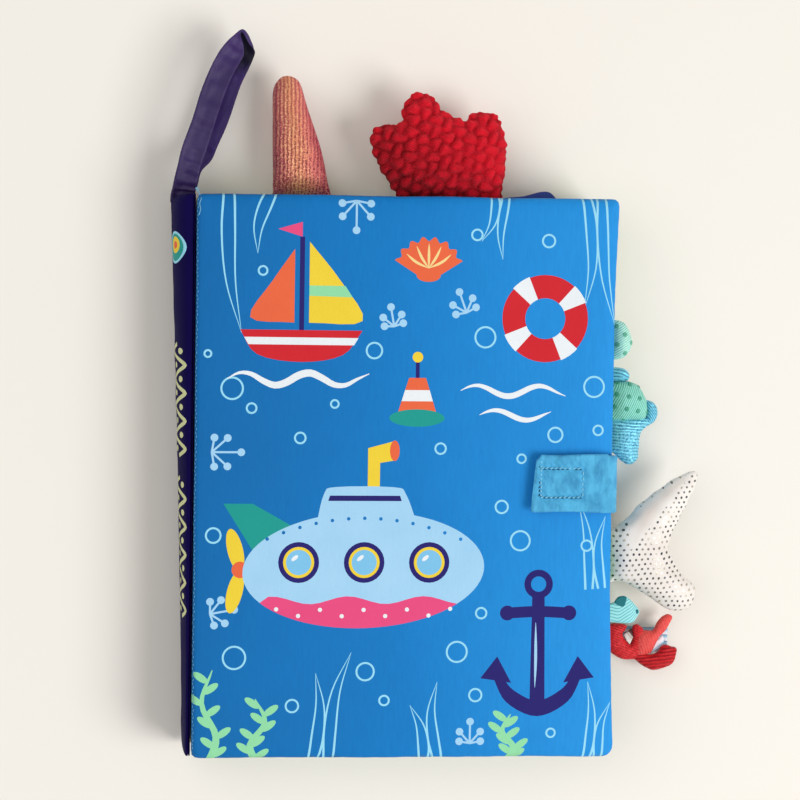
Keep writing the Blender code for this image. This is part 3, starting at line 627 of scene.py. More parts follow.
coverPrint = []
for draw, spots in (
        (weed, ((-74, 117.4, (59,), 5.0, 182), (-56, 117.4, (27,), 4.6, 160), (77, 117.4, (55, 47), 4.2, 184),
                (38, 117.4, (27, 21), 3.2, 172), (80, -46, (38, 30), 3.6, 4), (80, -118, (33, 25), 3.4, -4),
                (-34, -118, (37, 47), 4.4, -6), (12, -118, (25, 33), 4, 8))),
        (sprig, ((-22, 113, 12, 180), (24, 68, 9, 20), (-80, 10, 12, -90), (-80, -56, 10, -80),
                 (28, -110, 9, 0), (-6, 62, 8, 10))),
        (bubble, ((-60, 84, 2.2), (-14, 52, 3.6), (32, 58, 4.6), (28, 100, 2.6), (78, 38, 4.6), (80, 20, 2.4),
                  (62, 18, 3.4), (-72, 36, 4.8), (-64, 28, 2.4), (40, -12, 3.0), (48, -26, 4.4),
                  (76, -28, 2.6), (-79, -24, 3.4), (-70, -74, 5.0), (-46, -94, 3.0), (-16, -80, 4.0),
                  (-8, -92, 2.4), (22, -72, 4.6), (32, -56, 2.6), (-82, 50, 1.8), (58, 98, 3.0), (14, 12, 2.6),
                  (30, -90, 3.0), (62, -106, 2.2), (-44, 16, 2.6), (-30, 30, 2.0), (48, 8, 2.2))),
        (kelp, ((-80, -118, 39, 3), (-60, -118, 27, -3), (44, -118, 20, 2.4))), (sailingBoat, ((-44, 60),)),
        (scallop, ((8, 84, 14),)), (lifebuoy, ((57, 66, 18),)), (buoy, ((4, 32),)),
        (waterLine, ((-74, 40, 58), (22, 36, 44, 2.2, 2.4), (30, 26, 30, 2.0, 2.2))),
        (submarine, ((-17, -38),)), (anchor, ((56, -70),))):
    coverPrint += [shape for spot in spots for shape in draw(*spot)]

backPrint = []
for draw, spots in (
        (bubble, ((-60, 80, 6), (-20, 50, 4), (40, 90, 5), (60, 30, 7), (-70, 0, 4), (-30, -30, 5),
                  (20, -10, 4), (64, -50, 5), (-10, -90, 6), (40, -95, 3), (-74, -80, 4), (4, 84, 3),
                  (76, 70, 3))),
        (weed, ((-79, -113, (40, 46), 4.5, -4), (78, -112, (38, 30), 4.5, 4), (-60, 113, (30, 26), 3.5, 178),
                (20, 114, (24, 28), 3.5, 184), (30, -113, (28, 24, 20), 4, 0))),
        (waterLine, ((-50, 14, 100, 3), (-40, 2, 80, 3, 2.4, "foam"))),
        (kelp, ((-40, -113, 34, 4), (60, -113, 26, -3))), (sprig, ((-20, -60, 10, 0), (50, -20, 9, 30)))):
    backPrint += [shape for spot in spots for shape in draw(*spot)]
print("prints drawn:", len(coverPrint), "shapes on the front")


def seaPage(seed, far, near, extra):
    # A page of waves across the foot, a sky above, and one or two plain motifs.
    shapes = []
    for n, (level, colour) in enumerate(((-30, far), (-62, near), (-90, "navy"))):
        top = [(x, level + 4 * math.sin(x / (13 + 2 * n) + seed + n))
               for x in np.linspace(-halfWide, halfWide, 44)]
        shapes.append((colour, top + [(halfWide, -halfTall - 1), (-halfWide, -halfTall - 1)]))
    return shapes + extra


pagePrints = {
    "sunPage": seaPage(0, "sea", "teal", [
        ("sunny", disc(40, 66, 20, count=40)), ("coral", disc(40, 66, 14, count=40)), *cloud(-38, 70, 11),
        *sailingBoat(-10, -14)]),
    "buoyPage": seaPage(1, "sky", "sea", [
        *cloud(-30, 84, 9), *cloud(36, 60, 12), *buoy(20, -20), *buoy(-44, -22)]),
    "shellPage": seaPage(2, "mint", "teal", [
        *scallop(-40, 20, 24), *scallop(40, 50, 18), *scallop(20, -14, 15)]),
    "kelpPage": seaPage(3, "teal", "sea", [
        *kelp(-60, -60, 120, 6), *kelp(-20, -60, 90, -6, "lime"), *kelp(26, -60, 130, 6),
        *kelp(64, -60, 80, -5, "lime")]),
    "dotPage": [("pink" if (n + m) % 2 else "sunny", disc(-66 + 33 * n, -92 + 37 * m, 8, count=24))
                for n in range(5) for m in range(6)],
    "wavePage": [shape for n in range(7)
                 for shape in waterLine(-80, -96 + 32 * n, 160, 4, 6, ("sea", "foam", "teal")[n % 3])],
    "boatPage": seaPage(4, "foam", "sea", [*sailingBoat(-38, -16), *sailingBoat(40, -14), *cloud(0, 80, 12)]),
    "anchorPage": [("sea", disc(0, 0, 62, 62, count=64)), ("navy", disc(0, 42, 8)), ("sea", disc(0, 42, 4.5)),
                   ("navy", band(4, 36, 4, -40)), ("navy", stroke([(-22, 20), (0, 21), (22, 20)], 7, "bar")),
                   ("navy", stroke([(-36, -14), (-26, -34), (0, -44), (26, -34), (36, -14)], 8, "lens"))],
    "bubblePage": [shape for n in range(4) for m in range(5)
                   for shape in bubble(-58 + 38 * n + 8 * (m % 2), -86 + 42 * m, 7 + 3 * ((n + m) % 3), 1.6)],
    "plainPage": [],
}


# ---- covers and leaves

panelShape = {
    "corner": 2.6,        # how round the corners are
    "reach": 5.0,         # how far in from the seam the padding rises
    "puff": 2.6,          # half the padding's thickness over the seam
    "grid": 3.4,
    "edgeGap": 1.7,
    "rings": (0.3, 0.9, 2.0, 3.6),
    "pucker": 0.28,       # how deep the seam draws the cloth in
    "puckerGap": 5.2,
    "wave": 0.34,         # soft unevenness of the whole panel
}


def panelOutline(low, high, seed, ragged, flare):
    # A rectangle with round corners, its edges a little uneven as sewn cloth is.
    corner = panelShape["corner"]
    radii = (corner + (flare["corner"] if flare else 0), corner, corner, corner)
    line = spaced(roundedBox(low, high, radii, 6), panelShape["edgeGap"])
    middle, size = (np.array(low) + high) / 2, (np.array(high) - low) / 2
    uneven = ragged * (0.5 + 0.5 * ripple(line, 46, seed)) + 0.18 * ragged * ripple(line, 9, seed + 50)
    pull = np.clip(uneven, 0, None) * np.where(line[:, 0] < low[0] + 1, 0.2, 1.0)
    line = middle + (line - middle) * (1 - pull[:, None] / size)
    if flare:
        # The free corners stand out a little.
        x, y = line.T
        shares = ((x + halfWide) / (2 * halfWide), y / halfTall, -y / halfTall)
        free, head, foot = (np.clip(share, 0, 1) for share in shares)
        across = flare["head"] * np.clip((y - 40) / 75, 0, 1) ** 2
        across += flare["foot"] * np.clip((-y - 25) / 90, 0, 1) ** 2
        along = flare["up"] * free * head**8 - (flare["down"][0] + flare["down"][1] * free) * foot**8
        line = np.stack([x + across * free**8, y + along], axis=1)
    return line


def panelHeights(flat, outline, seed, crisp=0.0):
    # Half the thickness of a padded panel, and how its middle rises and falls.
    far, along = nearestOn(outline, flat)
    reach = panelShape["reach"] - crisp * np.exp(-((flat[:, 0] + halfWide) / 6) ** 2)
    half = 0.15 + panelShape["puff"] * roundRise(far, reach)
    turn = along * 2 * math.pi / panelShape["puckerGap"] + 2 * np.sin(along / 17 + seed)
    half -= panelShape["pucker"] * (0.5 + 0.5 * np.sin(turn)) * np.exp(-((far - 2.2) / 2.4) ** 2)
    lumps = 0.12 * (ripple(flat, 17, seed + 3) - 1) * roundRise(far, 12)
    return half, lumps, panelShape["wave"] * ripple(flat, 90, 5) * roundRise(far, 20)


def panel(name, middle, body, nodes, slot, prints, grounds, seed, ragged=0.3, left=-halfWide, crisp=0.0,
          flare=None):
    # A cover or leaf, printed on both sides. Returns its outline.
    outline = panelOutline((left, -halfTall), (halfWide, halfTall), seed, ragged, flare)
    rings = [drawnIn(outline, inset) for inset in panelShape["rings"]]
    grid = np.vstack(rings + [hexGrid(outline, panelShape["grid"], 5.0)])
    flat, faces, rim = cutFlat(outline, grid, [np.array(shape) for _, shape in prints[0] + prints[1]])
    half, lumps, sway = panelHeights(flat, outline, seed)
    above = panelHeights(flat, outline, seed, crisp)[0]
    points, shell = pillow(flat, faces, rim, middle + above + lumps + sway, middle - half - lumps + sway)
    points[:, 2] = np.maximum(points[:, 2], 0)
    chosen = [printedInks(flat, faces, prints[side], grounds[side]) for side in (0, 1)]
    made = piece(name, points, shell, [inks[key] for key in inkOrder], np.concatenate(chosen))
    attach(made, body)
    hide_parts(*nodes)
    return outline


coverShape = {"middle": 31.75, "seed": 11, "ragged": 0.45,
              "crisp": 3.6,         # how much less far in the padding rises along the spine
              "flare": {"head": 1.4, "foot": 2.7, "up": 1.1, "down": (0.6, 1.2), "corner": 1.6}}
coverOutline = panel("frontCover", body="front_cover", nodes=("front_cover_outer", "front_cover_lining"),
                     slot="cover_print", prints=(coverPrint, pagePrints["bubblePage"]), grounds=("sea", "sky"),
                     **coverShape)
panel("backCover", 2.75, "back_cover", ("back_cover_outer", "back_cover_lining"), "cover_print",
      (pagePrints["wavePage"], backPrint), ("sand", "sea"), 12)
leafPages = {
    1: (25.95, ("sunPage", "dotPage"), ("sky", "mint")),
    2: (20.15, ("shellPage", "buoyPage"), ("sand", "foam")),
    3: (14.35, ("kelpPage", "boatPage"), ("sky", "sand")),
    4: (8.55, ("anchorPage", "plainPage"), ("lime", "mint")),
}
for number, (middle, names, grounds) in leafPages.items():
    leaf = f"leaf_{number}"
    panel(f"leaf{number}", middle, leaf, (leaf + "_front_page", leaf + "_back_page"), leaf + "_print",
          tuple(pagePrints[key] for key in names), grounds, 20 + number, 0.8, -86.1)
print("covers and leaves sewn")


def coverTop(x, y):
    # How high the front cover's cloth is.
    rises = panelHeights(np.array([(x, y)], float), coverOutline, coverShape["seed"], coverShape["crisp"])
    return float(coverShape["middle"] + sum(rises)[0])


# ---- spine

spineShape = {"low": (2.9, -halfTall), "high": (31.6, halfTall), "corner": 1.6, "head": 8.2, "foot": 1.2,
              "inner": 0.95, "skin": 1.6, "wall": -87.15}

navyCloth = clothFinish("navySpineCloth", ink(15, 4, 72), ink(8, 2, 48), rough=0.7, sheen=0.01, shine=0.06)
spinePrint = [("foam", disc(24, 93, 7.0, 6.6)), ("teal", disc(24, 93, 6.0, 5.6)),
              ("sunny", disc(24, 94, 4.0, 3.4)), ("coral", disc(24, 94, 2.0, 1.6, count=14))]
for level, count in ((8, 4), (-58, 5)):
    # A bold wave up the spine, with a dot in each of its bends.
    points = [(23.8 + 6.4 * math.sin(t * count * math.tau), level + t * 11.4 * count)
              for t in np.linspace(0, 1, count * 12 + 1)]
    spinePrint.append(("cream", stroke(points, 1.7, "bar", 2)))
    for n in range(count):
        spinePrint += [("cream", disc(20.6, level + 11.4 * (n + 0.25), 1.9, 1.3, count=14)),
                       ("cream", disc(27.2, level + 11.4 * (n + 0.75), 1.9, 1.3, count=14))]


def stoodUp(points, shell):
    # From flat, with its X up the spine's wall, to where the spine is.
    return np.stack([spineShape["wall"] - points[:, 2], points[:, 1], points[:, 0]], axis=1), shell[:, ::-1]


def spineCloth():
    low, high = spineShape["low"], spineShape["high"]
    outline = spaced(roundedBox(low, high, (spineShape["corner"],) * 4, 4), 1.5)
    grid = np.vstack([drawnIn(outline, 0.4), drawnIn(outline, 1.1), hexGrid(outline, 2.2, 2.0)])
    flat, faces, rim = cutFlat(outline, grid, [np.array(s) for _, s in spinePrint])
    middle = (flat[:, 0] - low[0]) / (high[0] - low[0]) * 2 - 1
    along = np.clip(flat[:, 1] / (2 * halfTall) + 0.5, 0, 1)
    most = spineShape["foot"] + (spineShape["head"] - spineShape["foot"]) * along**1.3
    bulge = most * np.sqrt(np.clip(1 - middle**2, 0, 1)) * roundRise(halfTall - np.abs(flat[:, 1]), 3)
    bulge += 0.25 * ripple(flat, 20, 31) * roundRise(nearestOn(outline, flat)[0], 6)
    points, shell = pillow(flat, faces, rim, spineShape["skin"] + np.clip(bulge, 0, None),
                           np.full(len(flat), spineShape["inner"]))
    chosen = [printedInks(flat, faces, shapes, "navy") for shapes in (spinePrint, ())]
    materials = [navyCloth if key == "navy" else inks[key] for key in inkOrder]
    made = piece("spineOuter", *stoodUp(points, shell), materials, np.concatenate(chosen))
    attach(made, "spine")
    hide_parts("spine_outer", "spine_padding")
    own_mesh(made)

    # The lining, seen between the leaves when the book is open.
    half = 0.28 + 0.05 * ripple(flat, 12, 33)
    lining = piece("spineLining", *stoodUp(*pillow(flat, faces, rim, 0.47 + half, 0.47 - half)), [navyCloth])
    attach(lining, "spine")
    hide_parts("spine_lining")


spineCloth()
print("spine sewn")


# ---- stitches of the seam between spine and front cover

threadPale = clothFinish("paleThread", ink(120, 186, 222), rough=0.6, pitch=0.2)
seamStitch = {"x": -86.5, "gap": 1.55, "long": 1.15, "radius": 0.16}
frayLying = ((-86.2, 106.0), (-85.6, 108.4), (-86.0, 110.6), (-85.4, 112.6), (-85.8, 114.2))
frayLoose = ((-86.6, 115.6, 33.9), (-87.6, 116.6, 34.1), (-87.0, 117.0, 34.3), (-86.3, 116.3, 34.4))


def seamStitches():
    runs, chance = [], np.random.default_rng(3)
    for n, y in enumerate(np.arange(-112.5, 113.5, seamStitch["gap"])):
        x = seamStitch["x"] + 0.12 * math.sin(y / 9) + chance.uniform(-0.06, 0.06)
        lean = seamStitch["long"] * (0.5 if n % 2 else -0.35)
        path = [(x + lean * t * 0.55 - 0.1, y + seamStitch["long"] * (t - 0.5))
                for t in (0, 0.25, 0.5, 0.75, 1)]
        runs.append([(a, b, coverTop(a, b) + 0.1 + 0.1 * math.sin(math.pi * k / 4))
                     for k, (a, b) in enumerate(path)])
    stitches("seamStitches", runs, seamStitch["radius"], threadPale, "front_cover")
    fray = [(x, y, coverTop(x, y) + 0.2) for x, y in frayLying] + list(frayLoose)
    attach(piece("frayedThread", *tube(smoothLine(fray, 5), 0.2), [threadPale]), "front_cover")


seamStitches()


# ---- closure tab with its hook and loop patches

tabShape = {
    "low": -13.9, "high": 10.1, "thick": 1.15,
    "end": 51.3,          # where its free end lies
    "top": 37.75,         # how high it lies over the cover
    "outer": 87.8,        # where it stands along the fore-edge
    "bend": 4.2, "columns": 40,
    "lap": 36,            # above this it lies on the cover
    "rectangle": ((55.2, -7.6), (73.2, 4.4)), "pucker": 0.7,
}


def tabFinish():
    # Turquoise twill with a soft shine, creased by handling.
    finish = Finish("turquoiseCloth", {"Sheen Weight": 0.1, "Sheen Roughness": 0.5, "Specular IOR Level": 0.3})
    cloud, slub = finish.noise(0.14, 2.0), finish.noise(0.9, 3.0, (1, 0.3, 1))
    crease = finish.noise(0.3, 3.0, (1.0, 0.45, 1.0))
    share = (cloud - 0.5) * 1.4 + (crease - 0.5) * 0.9 + (slub - 0.5) * 0.5 + 0.2
    paint = finish.mixed(share.atLeast(0).atMost(1), ink(80, 182, 228), ink(22, 118, 174))
    return finish.paint(paint, cloud * 0.2 + 0.42, crease * 5 + slub * 0.5 + finish.weave(0.5) * 0.1, 0.3)


tabCloth = tabFinish()
tabThread = clothFinish("turquoiseThread", ink(146, 222, 246), rough=0.45, pitch=0.2)
# Dark thread for the painted shade of the tab's needle holes and dimples.
holeShadeThread = clothFinish("holeShadeThread", ink(10, 62, 100), rough=0.7, pitch=0.2)


def tabPath():
    # The tab's middle line in X and Z, from the back cover's seam to the free end.
    bend, outer, top = tabShape["bend"], tabShape["outer"], tabShape["top"]
    line = [(87.2, 2.75), (outer - 0.15, 4.4), (outer, 8.0)]
    line += [(outer, z) for z in np.linspace(12, top - bend - 1, 5)]
    line += [(outer - bend + bend * math.cos(a), top - bend + bend * math.sin(a))
             for a in np.linspace(0.1, math.pi / 2, 8)]
    line += [(x, top) for x in np.linspace(outer - bend - 3, tabShape["end"], 8)]
    return spaced(smoothLine(line, 4), 0.62, closed=False)


def closureTab():
    path = tabPath()
    rows, columns = len(path), tabShape["columns"]
    run = unit(np.gradient(path, axis=0))
    out = np.stack([run[:, 1], -run[:, 0]], axis=1)
    along = np.linspace(0, np.linalg.norm(np.diff(path, axis=0), axis=1).sum(), rows)
    toEnd = along[-1] - along
    points = []
    (left, low), (right, high) = tabShape["rectangle"]
    for side in (1, -1):
        for n, (x, z) in enumerate(path):
            lies = z > tabShape["lap"]
            cut = 2.6 * max(0.0, 1 - toEnd[n] / 2.4) + (0.54 if x > 84 else 0)
            lowY = tabShape["low"] + 0.25 * math.sin(along[n] / 7) + 0.8 * max(0.0, 1 - toEnd[n])
            highY = tabShape["high"] + 0.25 * math.sin(along[n] / 6 + 1) - cut
            for t in np.arange(columns + 1) / columns:
                y = lowY + (highY - lowY) * t
                edge = min(t, 1 - t) * (highY - lowY)
                half = tabShape["thick"] / 2 * float(roundRise(np.array(min(edge, toEnd[n])), 0.7))
                half += 0.14 * math.exp(-((edge - 1.0) / 0.7) ** 2)
                spot = np.array([(along[n], y)])
                lift = 0.45 * float(ripple(spot, 13, 41)[0]) + 0.22 * float(ripple(spot, 5, 42)[0])
                if lies:
                    # The sewn rectangle draws the cloth in, which swells and creases beside it.
                    gap = min(math.hypot(max(left - x, x - right, 0), min(abs(y - low), abs(y - high))),
                              math.hypot(min(abs(x - left), abs(x - right)), max(low - y, y - high, 0)))
                    lift -= tabShape["pucker"] * math.exp(-(gap / 1.1) ** 2)
                    lift += 0.34 * math.exp(-((gap - 1.9) / 1.2) ** 2) * math.sin(y * 2.3 + x * 2.0)
                    lift += 0.275 * max(0.0, (x - 76) / 10) * math.sin((y - 2) / 5)
                reach = half * side + lift * (1 if lies else 0.25)
                slant = (y + 14) / 10 * max(0.0, 1 - toEnd[n] / 9)
                points.append((x + slant + out[n, 0] * reach, y, z + out[n, 1] * reach))
    made = piece("closureTab", points, bandFaces(rows, columns), [tabCloth])
    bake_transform(made)
    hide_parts("closure_tab_side", "closure_tab_flap")


closureTab()


def tabStitches():
    # A box of stitches that holds the hook patch. Dark runs lie beside the pale ones along the free end and the
    # long sides: painted shade of the needle holes and dimples.
    (left, low), (right, high) = tabShape["rectangle"]
    level = tabShape["top"] + tabShape["thick"] / 2 - 0.4
    pale, dark = [], []
    chance = np.random.default_rng(8)
    for into, start, end, gap, lean, offset in (
            (pale, (left, high), (right, high), 1.9, 0.28, 0),
            (pale, (left, low), (right, low), 1.9, 0.28, 0),
            (pale, (right, low), (right, high), 2.2, 0, 0),
            (pale, (left, low), (left, high + 2.6), 1.7, 0.3, -0.35),
            (dark, (left, low), (left, high + 2.6), 1.7, -0.3, 0.3),
            (dark, (left + 0.9, high - 0.1), (right, high - 0.1), 1.9, -0.1, -0.4),
            (dark, (left + 0.9, low + 0.1), (right, low + 0.1), 1.9, -0.1, -0.4)):
        start, end = np.array(start), np.array(end)
        length = np.linalg.norm(end - start)
        run = (end - start) / length
        side = np.array([-run[1], run[0]])
        for at in np.arange(gap / 2, length, gap):
            middle = start + run * at + side * (offset + chance.uniform(-0.12, 0.12))
            reach = run * gap * 0.36 + side * lean
            into.append([(*(middle + reach * t), level + 0.2 * math.cos(t * 1.4) - 0.06)
                         for t in (-1, -0.5, 0, 0.5, 1)])
    stitches("tabStitches", pale, 0.3, tabThread, "tab_flap")
    # Dark runs where the needle holes and dimples lie in shade: painted shade.
    stitches("tabNeedleHoles", dark, 0.2, holeShadeThread, "tab_flap")


tabStitches()

pileFinish = clothFinish("loopPile", ink(60, 158, 200), rough=0.9, sheen=0.8, pitch=0.9, depth=0.25)
hookFinish = clothFinish("hookTape", ink(70, 166, 206), rough=0.45, sheen=0.1, pitch=1.1, depth=0.3)
patchShape = {"low": (55.0, -9.1), "high": (73.0, 5.3), "corner": 0.8, "half": 0.16, "rise": 0.2, "pile": 0.09}


def patch(name, base, body, node, material, hooked):
    # One half of the closure: a woven strip with loops or rows of small hooks.
    corners = roundedBox(patchShape["low"], patchShape["high"], (patchShape["corner"],) * 4, 2)
    outline = spaced(np.roll(corners, 1, axis=0), 0.7)
    flat, faces, rim = cutFlat(outline, np.vstack([drawnIn(outline, 0.25), hexGrid(outline, 0.6, 0.5)]))
    far = nearestOn(outline, flat)[0]
    half = patchShape["half"] + patchShape["rise"] * roundRise(far, 0.5)
    pile = np.sin(flat[:, 0] * 5.2) * np.sin(flat[:, 1] * 5.2) if hooked else ripple(flat, 1.5, 52)
    pile = patchShape["pile"] * pile * roundRise(far, 1.2)
    up, down = (0.0, pile) if hooked else (pile, 0.0)
    points, shell = pillow(flat, faces, rim, base + half + up, base - half - down)
    made = piece(name, points, shell, [material])
    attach(made, body)
    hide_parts(node)


patch("loopPatch", 35.2, "front_cover", "loop_patch", pileFinish, False)
patch("hookPatch", 36.3, "tab_flap", "hook_patch", hookFinish, True)
print("closure tab sewn")


# ---- carry strap

strapShape = {
    "wide": 9.6, "thick": 0.55, "hem": 0.22, "cup": 0.9, "crinkle": 0.5,
    "tip": 0.524,         # where along it the fold is
    "foot": 0.08,         # how much wider its ends are
    "pinch": 0.9,         # how far one edge is drawn in just before the fold
}
strapLine = (
    (-91.9, 111.6, 17.6, 1, 0, 0), (-91.9, 115.4, 18.2, 1, 0, 0), (-91.4, 118.4, 19.8, 0.98, -0.15, 0),
    (-90.2, 124.3, 21.6, 0.95, -0.30, 0), (-88.8, 130.3, 22.6, 0.93, -0.35, 0),
    (-86.5, 137.5, 23.3, 0.92, -0.38, 0), (-84.1, 144.8, 23.6, 0.93, -0.36, 0),
    (-80.4, 156.7, 23.4, 0.93, -0.37, 0), (-76.3, 166.6, 22.6, 0.92, -0.40, -0.10),
    (-72.0, 173.8, 21.1, 0.85, -0.50, -0.20), (-67.6, 178.1, 19.3, 0.70, -0.70, -0.15),
    (-65.6, 179.1, 17.4, 0.51, -0.86, 0), (-66.2, 177.1, 15.4, 0.70, -0.70, 0),
    (-68.8, 170.9, 13.6, 0.87, -0.48, 0), (-72.8, 162.0, 12.5, 0.92, -0.40, 0),
    (-77.5, 148.1, 11.7, 0.93, -0.36, 0), (-81.5, 138.2, 11.5, 0.92, -0.38, 0),
    (-84.1, 131.9, 12.3, 0.90, -0.43, 0), (-88.8, 126.0, 13.6, 0.95, -0.20, 0),
    (-90.5, 120.0, 15.2, 0.98, -0.10, 0), (-91.9, 115.4, 16.3, 1, 0, 0), (-91.9, 111.6, 16.6, 1, 0, 0),
)


def satinFinish(name, colour, deep, paintedFoldShade=0.0, gloss=0.4):
    # Shiny ribbon: fine threads along it and a broken sheen. The last term deepens the colour by so much per mm
    # towards the fold, painted shade inside the fold; below nought it lightens it there instead.
    finish = Finish(name, {"Sheen Weight": 0.05, "Specular IOR Level": gloss, "Anisotropic": 0.3})
    threads = finish.noise(1.2, 3.0, (1.6, 0.25, 1.0))
    cloud = finish.noise(0.09, 4.0)
    # Deeper with Y past 164 mm, towards the fold: painted shade in the fold.
    share = threads * 0.45 + cloud * 0.55 + (finish.across("Y") - 164).atLeast(0) * paintedFoldShade - 0.1
    return finish.paint(finish.mixed(share.atMost(1), colour, deep), cloud * 0.25 + 0.33,
                        threads + finish.weave(0.3) * 0.3, 0.05)


# The outer face grows a little lighter towards the fold.
purpleSatin = satinFinish("purpleSatin", ink(59, 35, 99), ink(21, 8, 58), -0.03)
# The inner face deepens towards the fold: painted shade in the hollow of the fold.
innerSatin = satinFinish("innerSatin", ink(64, 42, 112), ink(12, 5, 32), 0.09, 0.15)


def ribbonMesh(name, line, material, wide, thick, hem, cup, crinkle, seed=60, inner=None, tip=None,
               foot=0.0, pinch=0.0):
    # A closed flat band along a middle line; line rows give a point and the width's direction.
    # At the share tip of its run it arches the other way, and by foot it is wider at its ends.
    # Just before the tip one edge is drawn in by the share pinch, so that the fold stands open.
    pinchAt, pinchLong, columns = 0.494, 0.038, 14
    rows = smoothLine(line, 6)
    middle, width = rows[:, :3], unit(rows[:, 3:])
    up = unit(np.cross(width, np.gradient(middle, axis=0)))
    share = np.linspace(-1, 1, columns + 1)
    spots = np.array([(n * 1.4, t * wide / 2) for n in range(len(rows)) for t in share])
    bumps = crinkle * ripple(spots, 6, seed) + 0.4 * crinkle * ripple(spots, 2.6, seed + 1)
    bumps = bumps.reshape(len(rows), -1)
    points = []
    for side in (1, -1):
        for n in range(len(rows)):
            at = n / (len(rows) - 1)
            bow = cup * (1 - 2.6 * math.exp(-((at - tip) / 0.04) ** 2)) if tip else cup
            ends = math.exp(-(at / 0.05) ** 2) + math.exp(-((1 - at) / 0.05) ** 2)
            reach = wide / 2 * (1 + foot * (ends + 0.2 * math.sin(at * 37) + 0.14 * math.sin(at * 61 + 1)))
            kept = 1 - pinch * math.exp(-((at - pinchAt) / pinchLong) ** 2)
            for m, t in enumerate(share):
                half = thick / 2 * math.sqrt(max(0.0, 1 - abs(t) ** 14))
                half += hem * math.exp(-((abs(t) - 0.86) / 0.07) ** 2)
                lift = side * half + bow * (t * t - 0.4) + bumps[n, m]
                points.append(middle[n] + width[n] * ((t + 1) * kept - 1) * reach + up[n] * lift)
    faces = bandFaces(len(rows), columns)
    chosen = [int(min(f) * 2 >= len(points)) for f in faces] if inner else None
    return piece(name, points, faces, [material, inner] if inner else [material], chosen)


carryStrap = ribbonMesh("carryStrap", strapLine, purpleSatin, **strapShape, inner=innerSatin)
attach(carryStrap, "carry_strap")
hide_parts("carry_strap")
print("carry strap folded")


# ---- stuffed tails

def filmHeights(flat, faces, rim):
    # The height of a film blown up over the outline: none at the seam, one at its fullest.
    area = np.maximum(signedArea(flat, faces), 1e-6)
    count = len(flat)
    stiff, load = np.zeros((count, count)), np.zeros(count)
    for k in range(3):
        i, j, o = faces[:, k], faces[:, (k + 1) % 3], faces[:, (k + 2) % 3]
        pull = ((flat[i] - flat[o]) * (flat[j] - flat[o])).sum(axis=1) / (4 * area)
        np.add.at(stiff, (i, j), -pull)
        np.add.at(stiff, (j, i), -pull)
        np.add.at(stiff, (i, i), pull)
        np.add.at(stiff, (j, j), pull)
        np.add.at(load, i, area / 3)
    free = np.ones(count, bool)
    free[rim] = False
    found = np.zeros(count)
    found[free] = np.linalg.solve(stiff[np.ix_(free, free)], load[free])
    return np.sqrt(np.clip(found / found.max(), 0, 1))


def inflated(made, pressure, cap, pinned):
    # Blows the sewn form up as cloth, then keeps every point within cap of where it began.
    start = readPoints(made.data) / mm
    grow, frames = 20.0, 14
    movePoints(made, start * grow)
    group = made.vertex_groups.new(name="pin")
    group.add([int(n) for n in pinned], 1.0, "REPLACE")
    step = made.modifiers.new("cloth", "CLOTH")
    for key, value in (("quality", 4), ("mass", 0.3), ("use_pressure", True),
                       ("uniform_pressure_force", pressure), ("tension_stiffness", 12),
                       ("compression_stiffness", 12), ("bending_stiffness", 0.4), ("vertex_group_mass", "pin")):
        setattr(step.settings, key, value)
    step.settings.effector_weights.gravity = 0
    step.collision_settings.use_collision = False
    step.point_cache.frame_start, step.point_cache.frame_end = 1, frames
    for number in range(1, frames + 1):
        bpy.context.scene.frame_set(number)
    blown = made.evaluated_get(bpy.context.evaluated_depsgraph_get())
    end = readPoints(blown.to_mesh()) / mm / grow
    blown.to_mesh_clear()
    made.modifiers.clear()
    made.vertex_groups.clear()
    bpy.context.scene.frame_set(1)
    moved = end - start
    far = np.linalg.norm(moved, axis=1)
    moved *= np.where(far > cap, cap / np.maximum(far, 1e-9), 1.0)[:, None]
    movePoints(made, np.where(np.isfinite(moved), start + moved, start))


edges = {"fore": (0, halfWide, 88.2), "head": (1, halfTall, 116.0)}    # axis, seam, end of the pinned cloth
stuffing = {"edge": "fore", "level": 14.35, "taper": 8, "round": 0.85, "closed": False, "pressure": 0,
            "relief": None}


def stuffed(name, setting):
    # A stuffed form. The line opens at the root seam, which lies along one straight side.
    setting = {**stuffing, **setting}
    axis, seam, pinEnd = edges[setting["edge"]]
    gap, level, body = setting["gap"], setting["level"], setting["body"]
    line = smoothLine(setting["outline"], 4, setting["closed"])
    if not setting["closed"]:
        line = np.vstack([line, line[:1]])
    line = spaced(line, gap)
    flat, faces, rim = cutFlat(line, np.vstack([drawnIn(line, 0.35), drawnIn(line, 1.0),
                                                hexGrid(line, gap, gap * 0.8 + 0.6)]))
    high = filmHeights(flat, faces, rim) ** setting["round"]
    taper = 1.0
    if setting["taper"]:
        taper = np.sin(np.clip((flat[:, axis] - seam) / setting["taper"], 0, 1) * math.pi / 2)
    half = setting["swell"] * high * (0.12 + 0.88 * taper)
    points, shell = pillow(flat, faces, rim, level + half, level - half)
    made = piece(name, points, shell, [setting["cloth"]])
    if setting["pressure"]:
        inflated(made, setting["pressure"], setting["cap"], np.flatnonzero(points[:, axis] < pinEnd))
    smoothed(made, 2, rim)
    if setting["relief"]:
        raised(made, setting["relief"])
    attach(made, body)
    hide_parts(*setting.get("nodes", (body + "_front", body + "_back", body + "_filling")))
    print("stuffed:", name, len(made.data.vertices), "points")


pleatPitch = 1.55


